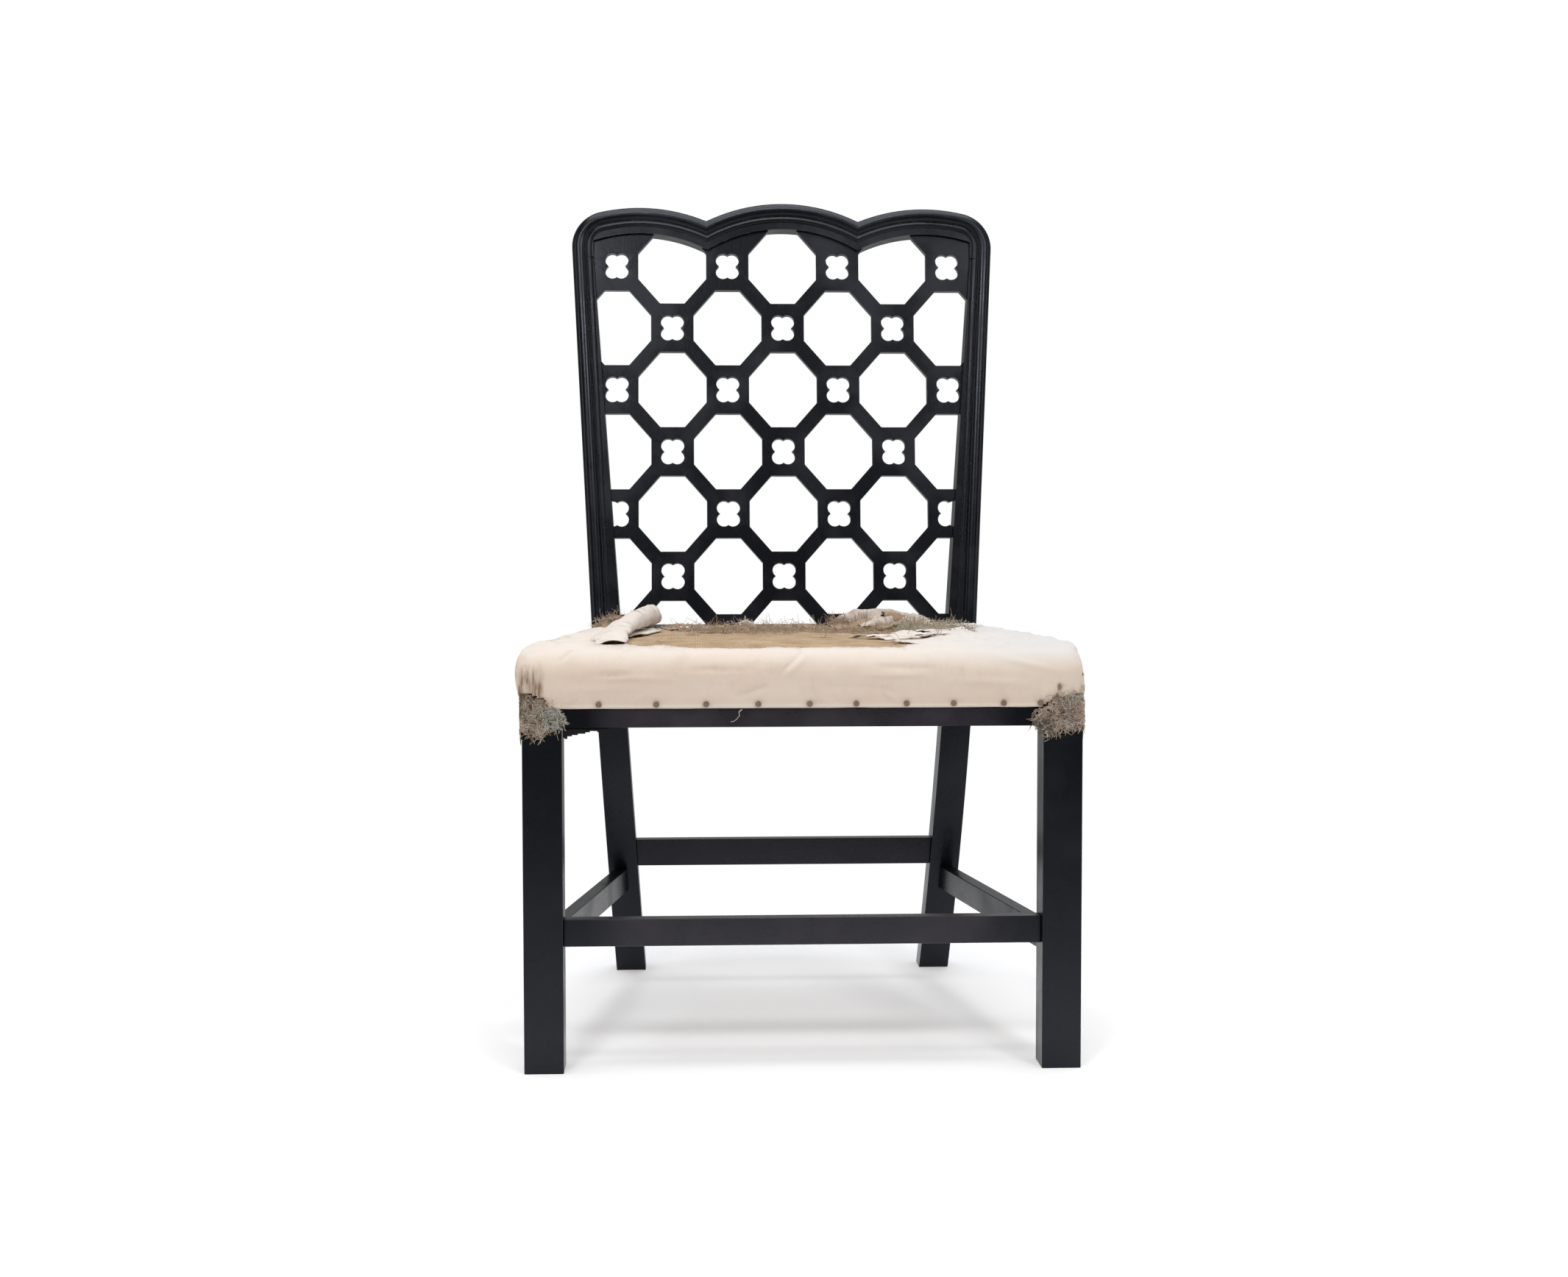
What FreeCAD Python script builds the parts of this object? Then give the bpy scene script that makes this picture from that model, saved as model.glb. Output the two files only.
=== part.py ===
import FreeCAD, Part
import math
import os

# Side chair with a pierced lattice back, square front legs, box stretchers and a stuffed-over seat
# whose calico cover is torn open. Millimetres; +X to the viewer's right, -Y to the front, +Z up.
# While it is being made, y is 0 on the front faces of the front legs and x is 0 in the middle.
# Left and right are those of a person who looks at the front of the chair.
V = FreeCAD.Vector
X_AXIS = V(1, 0, 0)
Y_AXIS = V(0, 1, 0)
DOWN = V(0, 0, -1)

# Fits
fit_gap = 0.15          # glued joints, all round a tenon or a tongue
soft_gap = 0.3          # between a soft layer and what it lies on
over = 1.0              # how far a cut runs past a face
reach = 900.0           # size of the blanks that are trimmed to shape

# Seat plan and heights
front_width = 580.0     # over the outer faces of the front legs
leg_square = 41.0       # front leg, both ways
seat_depth = 440.0      # front of the front legs to the front of the back posts
rail_underside = 360.0  # underside of the seat rails above the floor
rail_height = 55.0
rail_thickness = 26.0   # front and side rails
rear_rail_thickness = 32.0
rail_top = rail_underside + rail_height
front_half = front_width / 2

# Back posts, one piece from the floor to the crest rail
foot_sweep = 74.5       # front of the rear foot behind the front of the post at the rails
foot_depth = 38.0
foot_half = 211.5       # centre line of the chair to the outer face, at the foot
foot_post_width = 37.0
leg_bow = 14.0          # forward bow of the lower part
block_below = 15.0      # the post is upright from this far below the rails
knee_above = 10.0       # to this far above them, and from that knee up it leans back
knee_half = 237.7
knee_post_width = 36.0
knee_depth = 43.0
back_lean = 6.85        # degrees
stile_length = 481.0    # knee to the joint with the crest rail, along the lean
top_half = 262.2
top_post_width = 26.0
top_depth = 28.0

# Crest rail: three humps, and a rounded corner at each side
valley_rise = 47.0      # joint with the posts to the valleys
middle_hump_rise = 22.5 # valleys to the top of the middle hump
side_hump_rise = 16.6
valley_in = 167.0       # outer face of the post to the valley
side_peak_in = 84.0     # and to the top of the side hump
corner_radius = 45.0
band_width = 33.0
crest_depth = 28.0

# Moulding on the front of the crest rail and the posts: a roll beside a flat
roll_radius = 9.5
roll_crown = 8.8        # outer edge to the highest line of the roll
flat_drop = 3.5         # the flat lies this far behind the crown
bead_radius = 4.4       # small bead inside the roll
bead_rise = 2.5         # above the flat
bead_quirk = 0.5        # flat between the roll and the bead
moulding_width = 40.0   # how far in from the edge the moulding plane runs
moulding_start = 14.0   # above the knee, behind the upholstery

# Pierced lattice back
fret_setback = 8.0      # behind the crown of the moulding
fret_thickness = 11.0
tongue = 6.0            # depth in the grooves of the posts and the crest rail
shoe_tongue = 10.0
column_pitch = 69.05
row_pitch = 78.0
top_row_drop = 9.7      # joint of the crest rail to the middle of the first row
octagon_width = 85.0
octagon_height = 95.0
octagon_cut_x = 27.2
octagon_cut_z = 31.0
least_opening = 5.0     # an octagon that shows less than this beside a post isn't cut
lobe_radius = 8.8       # quatrefoil piercing in each square
lobe_x = 5.6
lobe_z = 7.3

# Shoe that holds the foot of the lattice on the rear rail
shoe_set = 6.0          # behind the front of the posts at the rails
shoe_thickness = 22.0
shoe_sight = 20.5       # top of the shoe, up the lean from the knee
shoe_nose = 5.0

# Tenons
tenon_thickness = 10.0
tenon_shoulder = 7.0    # rail height left above and below a tenon
front_tenon_length = 22.0
front_tenon_set = 8.0   # behind the front of the leg
side_tenon_length = 18.0
side_tenon_set = 8.0    # inside the outer face of the rail
rear_tenon_length = 15.0
rear_tenon_set = 18.0   # behind the front of the rear rail
crest_tenon_length = 22.0
crest_tenon_width = 11.0
crest_tenon_set = 5.0   # inside the outer face of the post

# Stretchers
stretcher_height = 28.5
rear_stretcher_height = 33.0
stretcher_shoulder = 4.0
front_stretcher_top = 159.5
front_stretcher_set = 10.0
front_stretcher_thickness = 18.0
rear_stretcher_top = 174.0
rear_stretcher_set = 6.0
rear_stretcher_thickness = 18.0
side_stretcher_top = 137.5
side_stretcher_thickness = 16.0
side_stretcher_set = 7.0
stretcher_tenon_thickness = 8.0
stretcher_tenon_length = 16.0

# Corner braces inside the seat frame, and their screws
brace_near = 34.0       # leg corner to the near end of a brace, along the rail
brace_far = 78.0
brace_height = 34.0
brace_drop = 8.0        # below the top of the rails
screw_shank = 4.0
screw_head = 8.0
screw_head_height = 3.0
screw_seat = 14.0       # head to the face of the rail
screw_bite = 16.0       # thread in the rail

# Webbing, laid under the stuffing
web_width = 50.0
web_thickness = 1.2
web_lap = 20.0          # on a rail
web_count_long = 4      # front to back
web_count_cross = 4     # side to side
tack_shank = 1.8
tack_head = 6.0
tack_head_height = 1.0
tack_length = 9.0
web_tack_edge = 7.0     # end of the strap to its tacks

# Soft layers of the seat
cloth_thickness = 1.5
hessian_thickness = 0.8
base_thickness = 1.0
rail_show = 20.0        # black rail left bare below the cover
edge_rise = 23.0        # top of the rails to the top of the front edge
edge_roll = 22.0        # how far the edge rolls in from the widest reach to its top
crown_rise = 6.0
crown_start = 38.0      # face of the rail in to where the crown begins
crown_full = 106.0
bulge = 4.8             # the cover's widest reach outside the rails
corner_round_share = 3.2    # radius of the cover's front corners to its reach beyond the leg

# Tacks along the cover's lower edge
cover_tack_up = 4.0
tack_pitch = 51.0       # along the sides
side_tack_front = 12.0  # first tack to the front leg
side_tack_rear = 30.0   # least length without a tack at the back post

# Torn pieces of cloth and fibre
tuft_drop = 45.0        # frayed cloth hanging over the top of a front leg
tuft_spread = 34.0
tuft_bulge = 7.0
flap_height = 14.0
flap_width = 34.0
heap_height = 17.0
heap_width = 30.0
remnant_length = 60.0   # black cloth left under the front rail
remnant_width = 14.0
remnant_thickness = 0.8
remnant_hang = 12.0

skirt_bottom = rail_underside + rail_show
edge_height = rail_top + edge_rise
foot_front = seat_depth + foot_sweep
block_bottom = rail_underside - block_below
knee_height = rail_top + knee_above
shoe_front = seat_depth + shoe_set
valley_height = stile_length + valley_rise
crest_peak = valley_height + middle_hump_rise
side_peak_height = valley_height + side_hump_rise
valley_x = top_half - valley_in
side_peak_x = top_half - side_peak_in
lean = math.radians(back_lean)
taper = (front_half - knee_half) / (seat_depth - leg_square)
deepest = foot_front + foot_depth
foremost = tuft_bulge + soft_gap
middle_y = (deepest - foremost) / 2

os.makedirs("parts", exist_ok=True)


def save(name, shape):
    """Write one node, moved so that the origin is under the middle of the chair."""
    placed = shape.copy()
    placed.translate(V(0, -middle_y, 0))
    placed.exportStep("parts/" + name + ".step")
    print(name, len(placed.Solids), round(placed.Volume, 1), placed.isValid())


def mirrored(shape):
    return shape.mirror(V(0, 0, 0), X_AXIS)


def save_pair(name, right):
    save(name + "_right", right)
    save(name + "_left", mirrored(right))


def group(shapes):
    return Part.makeCompound(shapes)


def fused(shapes):
    whole = shapes[0]
    for shape in shapes[1:]:
        whole = whole.fuse(shape)
    return whole.removeSplitter()


def box(x0, x1, y0, y1, z0, z1):
    return Part.makeBox(x1 - x0, y1 - y0, z1 - z0, V(x0, y0, z0))


def plan_prism(points, z0, z1):
    """Straight-sided outline in plan, standing from z0 to z1."""
    wire = Part.makePolygon([V(x, y, z0) for x, y in points + points[:1]])
    return Part.Face(wire).extrude(V(0, 0, z1 - z0))


def front_prism(points, w0, w1):
    """Straight-sided outline in front view, from depth w0 to w1."""
    wire = Part.makePolygon([V(u, w0, v) for u, v in points + points[:1]])
    return Part.Face(wire).extrude(V(0, w1 - w0, 0))


def raked(shape):
    """Lean a shape of the back, drawn upright at the knee, to its place."""
    leaned = shape.copy()
    leaned.rotate(V(0, 0, 0), X_AXIS, -back_lean)
    leaned.translate(V(0, seat_depth, knee_height))
    return leaned


def side_x(y, out=0.0):
    """Outer face of the front leg or, behind it, of the side rail at depth y, pushed out by out."""
    return front_half + out - taper * max(0, y - leg_square)


def biggest(shape):
    return max(shape.Solids, key=lambda solid: solid.Volume)


# Back post

def post_side_profile():
    top_v = stile_length + crest_tenon_length + over
    front_top = (seat_depth + top_v * math.sin(lean), knee_height + top_v * math.cos(lean))
    back_top = (front_top[0] + top_depth * math.cos(lean), front_top[1] - top_depth * math.sin(lean))
    arc_height = block_bottom / 2
    front_arc = ((foot_front + seat_depth) / 2 - leg_bow, arc_height)
    back_foot = foot_front + foot_depth
    back_knee = seat_depth + knee_depth
    back_arc = ((back_foot + back_knee) / 2 - leg_bow, arc_height)

    def p(y, z):
        return V(0, y, z)

    edges = [
        Part.Arc(p(foot_front, 0), p(*front_arc), p(seat_depth, block_bottom)).toShape(),
        Part.makeLine(p(seat_depth, block_bottom), p(seat_depth, knee_height)),
        Part.makeLine(p(seat_depth, knee_height), p(*front_top)),
        Part.makeLine(p(*front_top), p(*back_top)),
        Part.makeLine(p(*back_top), p(back_knee, rail_top)),
        Part.makeLine(p(back_knee, rail_top), p(back_knee, block_bottom)),
        Part.Arc(p(back_knee, block_bottom), p(*back_arc), p(back_foot, 0)).toShape(),
        Part.makeLine(p(back_foot, 0), p(foot_front, 0)),
    ]
    return Part.Face(Part.Wire(edges)).extrude(V(reach, 0, 0))


def post_front_outline():
    return [
        (foot_half, -knee_height),
        (knee_half, 0),
        (top_half, stile_length),
        (top_half - top_post_width, stile_length),
        (knee_half - knee_post_width, 0),
        (foot_half - foot_post_width, -knee_height),
    ]


# Crest rail outline, worked out from its peaks and valleys

def arc_through(peak, valley):
    """Centre and radius of a hump whose top is at peak and which ends at valley."""
    run = abs(peak[0] - valley[0])
    drop = peak[1] - valley[1]
    radius = (run ** 2 + drop ** 2) / (2 * drop)
    return (peak[0], peak[1] - radius), radius


def circles_meet(c1, r1, c2, r2):
    """Upper crossing point of two circles."""
    dx = c2[0] - c1[0]
    dz = c2[1] - c1[1]
    d = math.hypot(dx, dz)
    a = (r1 ** 2 - r2 ** 2 + d ** 2) / (2 * d)
    h = math.sqrt(r1 ** 2 - a ** 2)
    first = (c1[0] + a * dx / d - h * dz / d, c1[1] + a * dz / d + h * dx / d)
    second = (c1[0] + a * dx / d + h * dz / d, c1[1] + a * dz / d - h * dx / d)
    return max(first, second, key=lambda point: point[1])


valley = (valley_x, valley_height)
mid_centre, mid_radius = arc_through((0.0, crest_peak), valley)
side_centre, side_radius = arc_through((side_peak_x, side_peak_height), valley)
stile_slope = (top_half - knee_half) / stile_length
slope_length = math.hypot(1, stile_slope)


def corner_centre():
    """The corner arc touches the sloping outer face and, inside, the side hump."""
    a0 = top_half - stile_slope * stile_length - corner_radius * slope_length - side_centre[0]
    reach_in = side_radius - corner_radius
    qa = 1 + stile_slope ** 2
    qb = 2 * (stile_slope * a0 - side_centre[1])
    qc = a0 ** 2 + side_centre[1] ** 2 - reach_in ** 2
    z = (-qb + math.sqrt(qb ** 2 - 4 * qa * qc)) / (2 * qa)
    return (a0 + side_centre[0] + stile_slope * z, z)


corner = corner_centre()
corner_low = (corner[0] + corner_radius / slope_length,
              corner[1] - corner_radius * stile_slope / slope_length)
corner_turn = math.atan2(corner[1] - side_centre[1], corner[0] - side_centre[0])
corner_high = (corner[0] + corner_radius * math.cos(corner_turn),
               corner[1] + corner_radius * math.sin(corner_turn))


def on_circle(centre, radius, angle):
    return (centre[0] + radius * math.cos(angle), centre[1] + radius * math.sin(angle))


def angle_at(centre, point):
    return math.atan2(point[1] - centre[1], point[0] - centre[0])


def arc_edge(centre, radius, start, end, depth=0.0):
    """Arc in the plane of the back from start to end, the short way."""
    toward = (start[0] + end[0] - 2 * centre[0], start[1] + end[1] - 2 * centre[1])
    middle = on_circle(centre, radius, math.atan2(toward[1], toward[0]))
    points = [V(u, depth, v) for u, v in (start, middle, end)]
    return Part.Arc(*points).toShape()


def line_edge(start, end, depth=0.0):
    return Part.makeLine(V(start[0], depth, start[1]), V(end[0], depth, end[1]))


def flip(point):
    return (-point[0], point[1])


def inner_edges(inset, inner_x, low_v):
    """Inside line of the crest rail, inset from its outline, between uprights at inner_x(v)."""
    mid_r = mid_radius - inset
    side_r = side_radius - inset
    meet = circles_meet(mid_centre, mid_r, side_centre, side_r)
    low = (inner_x(low_v), low_v)
    high_x = inner_x(stile_length)
    high = (high_x, side_centre[1] + math.sqrt(side_r ** 2 - (high_x - side_centre[0]) ** 2))
    knee = (high_x, stile_length)
    left_side = (-side_centre[0], side_centre[1])
    edges = []
    if low_v < stile_length:
        edges.append(line_edge(low, knee))
    edges += [
        line_edge(knee, high),
        arc_edge(side_centre, side_r, high, meet),
        arc_edge(mid_centre, mid_r, meet, flip(meet)),
        arc_edge(left_side, side_r, flip(meet), flip(high)),
        line_edge(flip(high), flip(knee)),
    ]
    if low_v < stile_length:
        edges.append(line_edge(flip(knee), flip(low)))
        edges.append(line_edge(flip(low), low))
    return edges, meet, low, knee


def post_inner_x(v):
    top_inner = top_half - top_post_width
    knee_inner = knee_half - knee_post_width
    return knee_inner + (top_inner - knee_inner) * v / stile_length


def crest_blank():
    left_side = flip(side_centre)
    left_corner = flip(corner)
    low = (top_half, stile_length)
    edges = [
        line_edge(low, corner_low),
        arc_edge(corner, corner_radius, corner_low, corner_high),
        arc_edge(side_centre, side_radius, corner_high, valley),
        arc_edge(mid_centre, mid_radius, valley, flip(valley)),
        arc_edge(left_side, side_radius, flip(valley), flip(corner_high)),
        arc_edge(left_corner, corner_radius, flip(corner_high), flip(corner_low)),
        line_edge(flip(corner_low), flip(low)),
    ]
    inner, meet, start, knee = inner_edges(band_width, post_inner_x, stile_length)
    edges.append(line_edge(flip(low), flip(knee)))
    edges += inner
    edges.append(line_edge(knee, low))
    wire = Part.Wire(Part.__sortEdges__(edges))
    return Part.Face(wire).extrude(V(0, crest_depth, 0)), meet


# Moulding: what is cut away to leave the roll and the flat

def roll_depth(t):
    return roll_radius - math.sqrt(roll_radius ** 2 - (t - roll_crown) ** 2)


quirk = roll_crown + math.sqrt(roll_radius ** 2 - (roll_radius - flat_drop) ** 2)
bead_half = math.sqrt(bead_radius ** 2 - (bead_radius - bead_rise) ** 2)
bead_start = quirk + bead_quirk
bead_crown = (bead_start + bead_half, flat_drop - bead_rise)
bead_end = bead_start + 2 * bead_half


def moulding_face(place):
    """Section of the waste in front of the moulding; place turns (inset, depth) into a point."""
    edge_depth = roll_depth(0)
    corners = [(0, edge_depth), (-over, edge_depth), (-over, -over), (moulding_width, -over),
               (moulding_width, flat_drop), (bead_end, flat_drop)]
    points = [place(t, w) for t, w in corners]
    edges = [Part.makeLine(a, b) for a, b in zip(points, points[1:])]
    bead_foot = place(bead_start, flat_drop)
    roll_foot = place(quirk, flat_drop)
    bead = Part.Arc(points[-1], place(*bead_crown), bead_foot).toShape()
    roll = Part.Arc(roll_foot, place(roll_crown, 0), points[0]).toShape()
    return Part.Face(Part.Wire(edges + [bead, Part.makeLine(bead_foot, roll_foot), roll]))


def moulding_round(centre, radius, start, end):
    """The waste turned about the centre of an arc, from angle start down to angle end."""

    def place(t, w):
        u, v = on_circle(centre, radius - t, start)
        return V(u, w, v)

    turn = math.degrees(start - end)
    return moulding_face(place).revolve(V(centre[0], 0, centre[1]), Y_AXIS, turn)


def moulding_straight(low_v, high_v):
    """The waste along the sloping outer face of a post."""
    along = V(stile_slope / slope_length, 0, 1 / slope_length)
    inward = V(-1 / slope_length, 0, stile_slope / slope_length)
    start = V(knee_half + stile_slope * low_v, 0, low_v)

    def place(t, w):
        return start + inward * t + V(0, w, 0)

    return moulding_face(place).extrude(along * ((high_v - low_v) * slope_length))


def crest_waste(meet):
    """Waste of the right half and the middle of the crest rail, mitred at the valley."""
    spare = math.radians(over)
    run = (valley[0] - meet[0], valley[1] - meet[1])
    high = (valley[0] + run[0], valley[1] + run[1])
    low = (meet[0] - run[0], meet[1] - run[1])
    middle_region = [low, high, flip(high), flip(low)]
    side_region = [low, high, (reach, high[1]), (reach, low[1])]
    valley_turn = angle_at(mid_centre, meet) - spare
    middle = moulding_round(mid_centre, mid_radius, math.pi - valley_turn, valley_turn)
    middle = middle.common(front_prism(middle_region, -reach, reach))
    side_turn = angle_at(side_centre, meet) + spare
    side = moulding_round(side_centre, side_radius, side_turn, corner_turn)
    side = side.common(front_prism(side_region, -reach, reach))
    low_turn = angle_at(corner, corner_low)
    bend = moulding_round(corner, corner_radius, corner_turn, low_turn)
    straight = moulding_straight(stile_length - over, corner_low[1])
    right = [side, bend, straight]
    return [middle] + right + [mirrored(piece) for piece in right]


# Lattice

def panel_solid(grow=0.0):
    """The lattice board with its tongues, before it is pierced; grow makes its groove."""

    def edge_x(v):
        return post_inner_x(v) + tongue + grow

    low_v = shoe_sight - shoe_tongue - grow
    edges, meet, low, knee = inner_edges(band_width - tongue - grow, edge_x, low_v)
    face = Part.Face(Part.Wire(Part.__sortEdges__(edges)))
    board = face.extrude(V(0, fret_thickness + 2 * grow, 0))
    board.translate(V(0, fret_setback - grow, 0))
    return board


def sight_solid():
    """The part of the lattice that shows inside the frame."""
    edges, meet, low, knee = inner_edges(band_width, post_inner_x, shoe_sight)
    face = Part.Face(Part.Wire(Part.__sortEdges__(edges)))
    sight = face.extrude(V(0, reach, 0))
    sight.translate(V(0, -reach / 2, 0))
    return sight


def octagon_hole(x, v):
    half_w = octagon_width / 2
    half_h = octagon_height / 2
    flat_w = half_w - octagon_cut_x
    flat_h = half_h - octagon_cut_z
    turns = [(half_w, flat_h), (flat_w, half_h), (-flat_w, half_h), (-half_w, flat_h),
             (-half_w, -flat_h), (-flat_w, -half_h), (flat_w, -half_h), (half_w, -flat_h)]
    points = [(x + du, v + dv) for du, dv in turns]
    return front_prism(points, fret_setback - over, fret_setback + fret_thickness + over)


def quatrefoil_hole(x, v):
    side_cusp = lobe_x + math.sqrt(lobe_radius ** 2 - lobe_z ** 2)
    top_cusp = lobe_z + math.sqrt(lobe_radius ** 2 - lobe_x ** 2)
    lobe_turn = lobe_radius / math.sqrt(2)
    tip = (lobe_x + lobe_turn, lobe_z + lobe_turn)
    front = fret_setback - over

    def p(du, dv):
        return V(x + du, front, v + dv)

    arcs = [
        Part.Arc(p(side_cusp, 0), p(tip[0], tip[1]), p(0, top_cusp)).toShape(),
        Part.Arc(p(0, top_cusp), p(-tip[0], tip[1]), p(-side_cusp, 0)).toShape(),
        Part.Arc(p(-side_cusp, 0), p(-tip[0], -tip[1]), p(0, -top_cusp)).toShape(),
        Part.Arc(p(0, -top_cusp), p(tip[0], -tip[1]), p(side_cusp, 0)).toShape(),
    ]
    return Part.Face(Part.Wire(arcs)).extrude(V(0, fret_thickness + 2 * over, 0))


def lattice_holes():
    """Quatrefoils and octagons alternate along each row; one mostly behind a post is left uncut."""
    holes = []
    columns = math.ceil(top_half / column_pitch)
    rows = math.ceil((stile_length - top_row_drop - shoe_sight) / row_pitch) + 1
    for row in range(rows):
        v = stile_length - top_row_drop - row * row_pitch
        for column in range(-columns, columns + 1):
            x = column * column_pitch
            square = (column + row) % 2 == 1
            shown = post_inner_x(v) - abs(x) + octagon_width / 2
            if square and v - lobe_z - lobe_radius > shoe_sight:
                holes.append(quatrefoil_hole(x, v))
            if not square and v + octagon_height / 2 > shoe_sight and shown > least_opening:
                holes.append(octagon_hole(x, v))
    return holes


# Joints of the seat frame; each function gives a tenon, or with grow its mortise

def front_rail_tenon(grow=0.0):
    inner = front_half - leg_square
    return box(inner - grow, inner + front_tenon_length + grow,
               front_tenon_set - grow, front_tenon_set + tenon_thickness + grow,
               rail_underside + tenon_shoulder - grow, rail_top - tenon_shoulder + grow)


def side_rail_front_tenon(grow=0.0):
    outer = front_half - side_tenon_set
    return box(outer - tenon_thickness - grow, outer + grow,
               leg_square - side_tenon_length - grow, leg_square + grow,
               rail_underside + tenon_shoulder - grow, rail_top - tenon_shoulder + grow)


def side_rail_rear_tenon(grow=0.0):
    outer = side_x(seat_depth) - side_tenon_set
    return box(outer - tenon_thickness - grow, outer + grow,
               seat_depth - grow, seat_depth + side_tenon_length + grow,
               rail_underside + tenon_shoulder - grow, rail_top - tenon_shoulder + grow)


def rear_rail_tenon(grow=0.0):
    """Starts inside the rail, so that it meets the sloping inner face of the post."""
    end = knee_half - knee_post_width + rear_tenon_length
    front = seat_depth + rear_tenon_set
    return box(end - 2 * rear_tenon_length, end + grow, front - grow, front + tenon_thickness + grow,
               rail_underside + tenon_shoulder - grow, rail_top - tenon_shoulder + grow)


def stretcher_tenon(x0, x1, y0, y1, top, grow, height=stretcher_height):
    return box(x0, x1, y0, y1, top - height + stretcher_shoulder - grow,
               top - stretcher_shoulder + grow)


def front_stretcher_tenon(grow=0.0):
    inner = front_half - leg_square
    front = front_stretcher_set + (front_stretcher_thickness - stretcher_tenon_thickness) / 2
    return stretcher_tenon(inner - grow, inner + stretcher_tenon_length + grow, front - grow,
                           front + stretcher_tenon_thickness + grow, front_stretcher_top, grow)


def post_front_y(z):
    """Front of the lower part of a back post at height z, on its bowed face."""
    level = block_bottom / 2
    from_middle = (z - level) / level
    return foot_front - foot_sweep * z / block_bottom - leg_bow * (1 - from_middle ** 2)


def post_outer_x(z):
    """Outer face of a back post below the knee."""
    return knee_half - (knee_half - foot_half) * (knee_height - z) / knee_height


def rear_stretcher_tenon(grow=0.0):
    z = rear_stretcher_top - rear_stretcher_height / 2
    inner = post_outer_x(z) - foot_post_width
    spare = (rear_stretcher_thickness - stretcher_tenon_thickness) / 2
    front = post_front_y(z) + rear_stretcher_set + spare
    return stretcher_tenon(inner - stretcher_tenon_length, inner + stretcher_tenon_length + grow,
                           front - grow, front + stretcher_tenon_thickness + grow,
                           rear_stretcher_top, grow, rear_stretcher_height)


def side_stretcher_ends():
    """Outer face of the side stretcher at the front leg and at the back post."""
    z = side_stretcher_top - stretcher_height / 2
    front = (front_half - side_stretcher_set, leg_square)
    rear = (post_outer_x(z) - side_stretcher_set, post_front_y(z))
    return front, rear


def side_stretcher_tenons(grow=0.0):
    front, rear = side_stretcher_ends()
    spare = (side_stretcher_thickness - stretcher_tenon_thickness) / 2
    front_outer = front[0] - spare
    rear_outer = rear[0] - spare
    front_tenon = stretcher_tenon(front_outer - stretcher_tenon_thickness - grow, front_outer + grow,
                                  front[1] - stretcher_tenon_length - grow, front[1] + grow,
                                  side_stretcher_top, grow)
    rear_tenon = stretcher_tenon(rear_outer - stretcher_tenon_thickness - grow, rear_outer + grow,
                                 rear[1] - stretcher_tenon_length,
                                 rear[1] + stretcher_tenon_length + grow, side_stretcher_top, grow)
    return front_tenon, rear_tenon


def crest_tenon(grow=0.0):
    outer = top_half - crest_tenon_set
    w = fret_setback + (fret_thickness - tenon_thickness) / 2
    return raked(box(outer - crest_tenon_width - grow, outer + grow, w - grow,
                     w + tenon_thickness + grow, stile_length - crest_tenon_length,
                     stile_length + crest_tenon_length + grow))


# Screws and tacks

def pin(start, direction, parts):
    """Cylinders of the given diameters, each length long, one after another along direction."""
    place = start
    solids = []
    for diameter, length in parts:
        solids.append(Part.makeCylinder(diameter / 2, length, place, direction))
        place = place + direction * length
    return fused(solids)


def screw(face, direction):
    """Wood screw through a brace: face is on the rail, direction goes into the rail."""
    head = face - direction * screw_seat
    body = pin(head, direction, [(screw_head, screw_head_height),
                                 (screw_shank, screw_seat - screw_head_height + screw_bite)])
    wide = screw_head + 2 * fit_gap
    narrow = screw_shank + 2 * fit_gap
    pocket_length = brace_far
    pocket = pin(head - direction * pocket_length, direction,
                 [(wide, pocket_length + screw_head_height + fit_gap)])
    hole = pin(head, direction, [(narrow, screw_seat + screw_bite + fit_gap)])
    return body, pocket, hole


def tack(place, direction):
    """Upholsterer's tack whose head lies on a cloth face at place."""
    head = place - direction * tack_head_height
    body = pin(head, direction, [(tack_head, tack_head_height), (tack_shank, tack_length)])
    hole = pin(place - direction * over, direction,
               [(tack_shank + 2 * fit_gap, over + tack_length + fit_gap)])
    return body, hole


# Corner braces, drawn for the right-hand side

def brace_outline(front):
    """Four corners of a brace on the front or rear rail and the side rail."""
    if front:
        rail_y = rail_thickness
        corner_x = front_half - leg_square
        corner_y = leg_square
        step = 1
    else:
        rail_y = seat_depth
        corner_x = knee_half - knee_post_width
        corner_y = seat_depth
        step = -1
    ends = []
    for distance in (brace_near, brace_far):
        along_rail = (corner_x - distance, rail_y)
        side_y = corner_y + step * distance
        along_side = (side_x(side_y) - rail_thickness * math.hypot(1, taper), side_y)
        ends.append((along_rail, along_side))
    near, far = ends
    return [far[0], near[0], near[1], far[1]]


def brace_with_screws(front):
    points = brace_outline(front)
    top = rail_top - brace_drop
    solid = plan_prism(points, top - brace_height, top)
    mid_z = top - brace_height / 2
    rail_mid = (points[0][0] + points[1][0]) / 2
    side_mid_x = (points[2][0] + points[3][0]) / 2
    side_mid_y = (points[2][1] + points[3][1]) / 2
    toward = -1 if front else 1
    seats = [
        (V(rail_mid, points[0][1], mid_z), V(0, toward, 0)),
        (V(side_mid_x, side_mid_y, mid_z), X_AXIS),
    ]
    screws = []
    holes = []
    for face, direction in seats:
        body, pocket, hole = screw(face, direction)
        screws.append(body)
        holes.append(hole)
        solid = solid.cut(pocket).cut(hole)
    return biggest(solid), screws, holes


# Soft layers: closed outlines in plan, lofted from level to level

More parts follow.
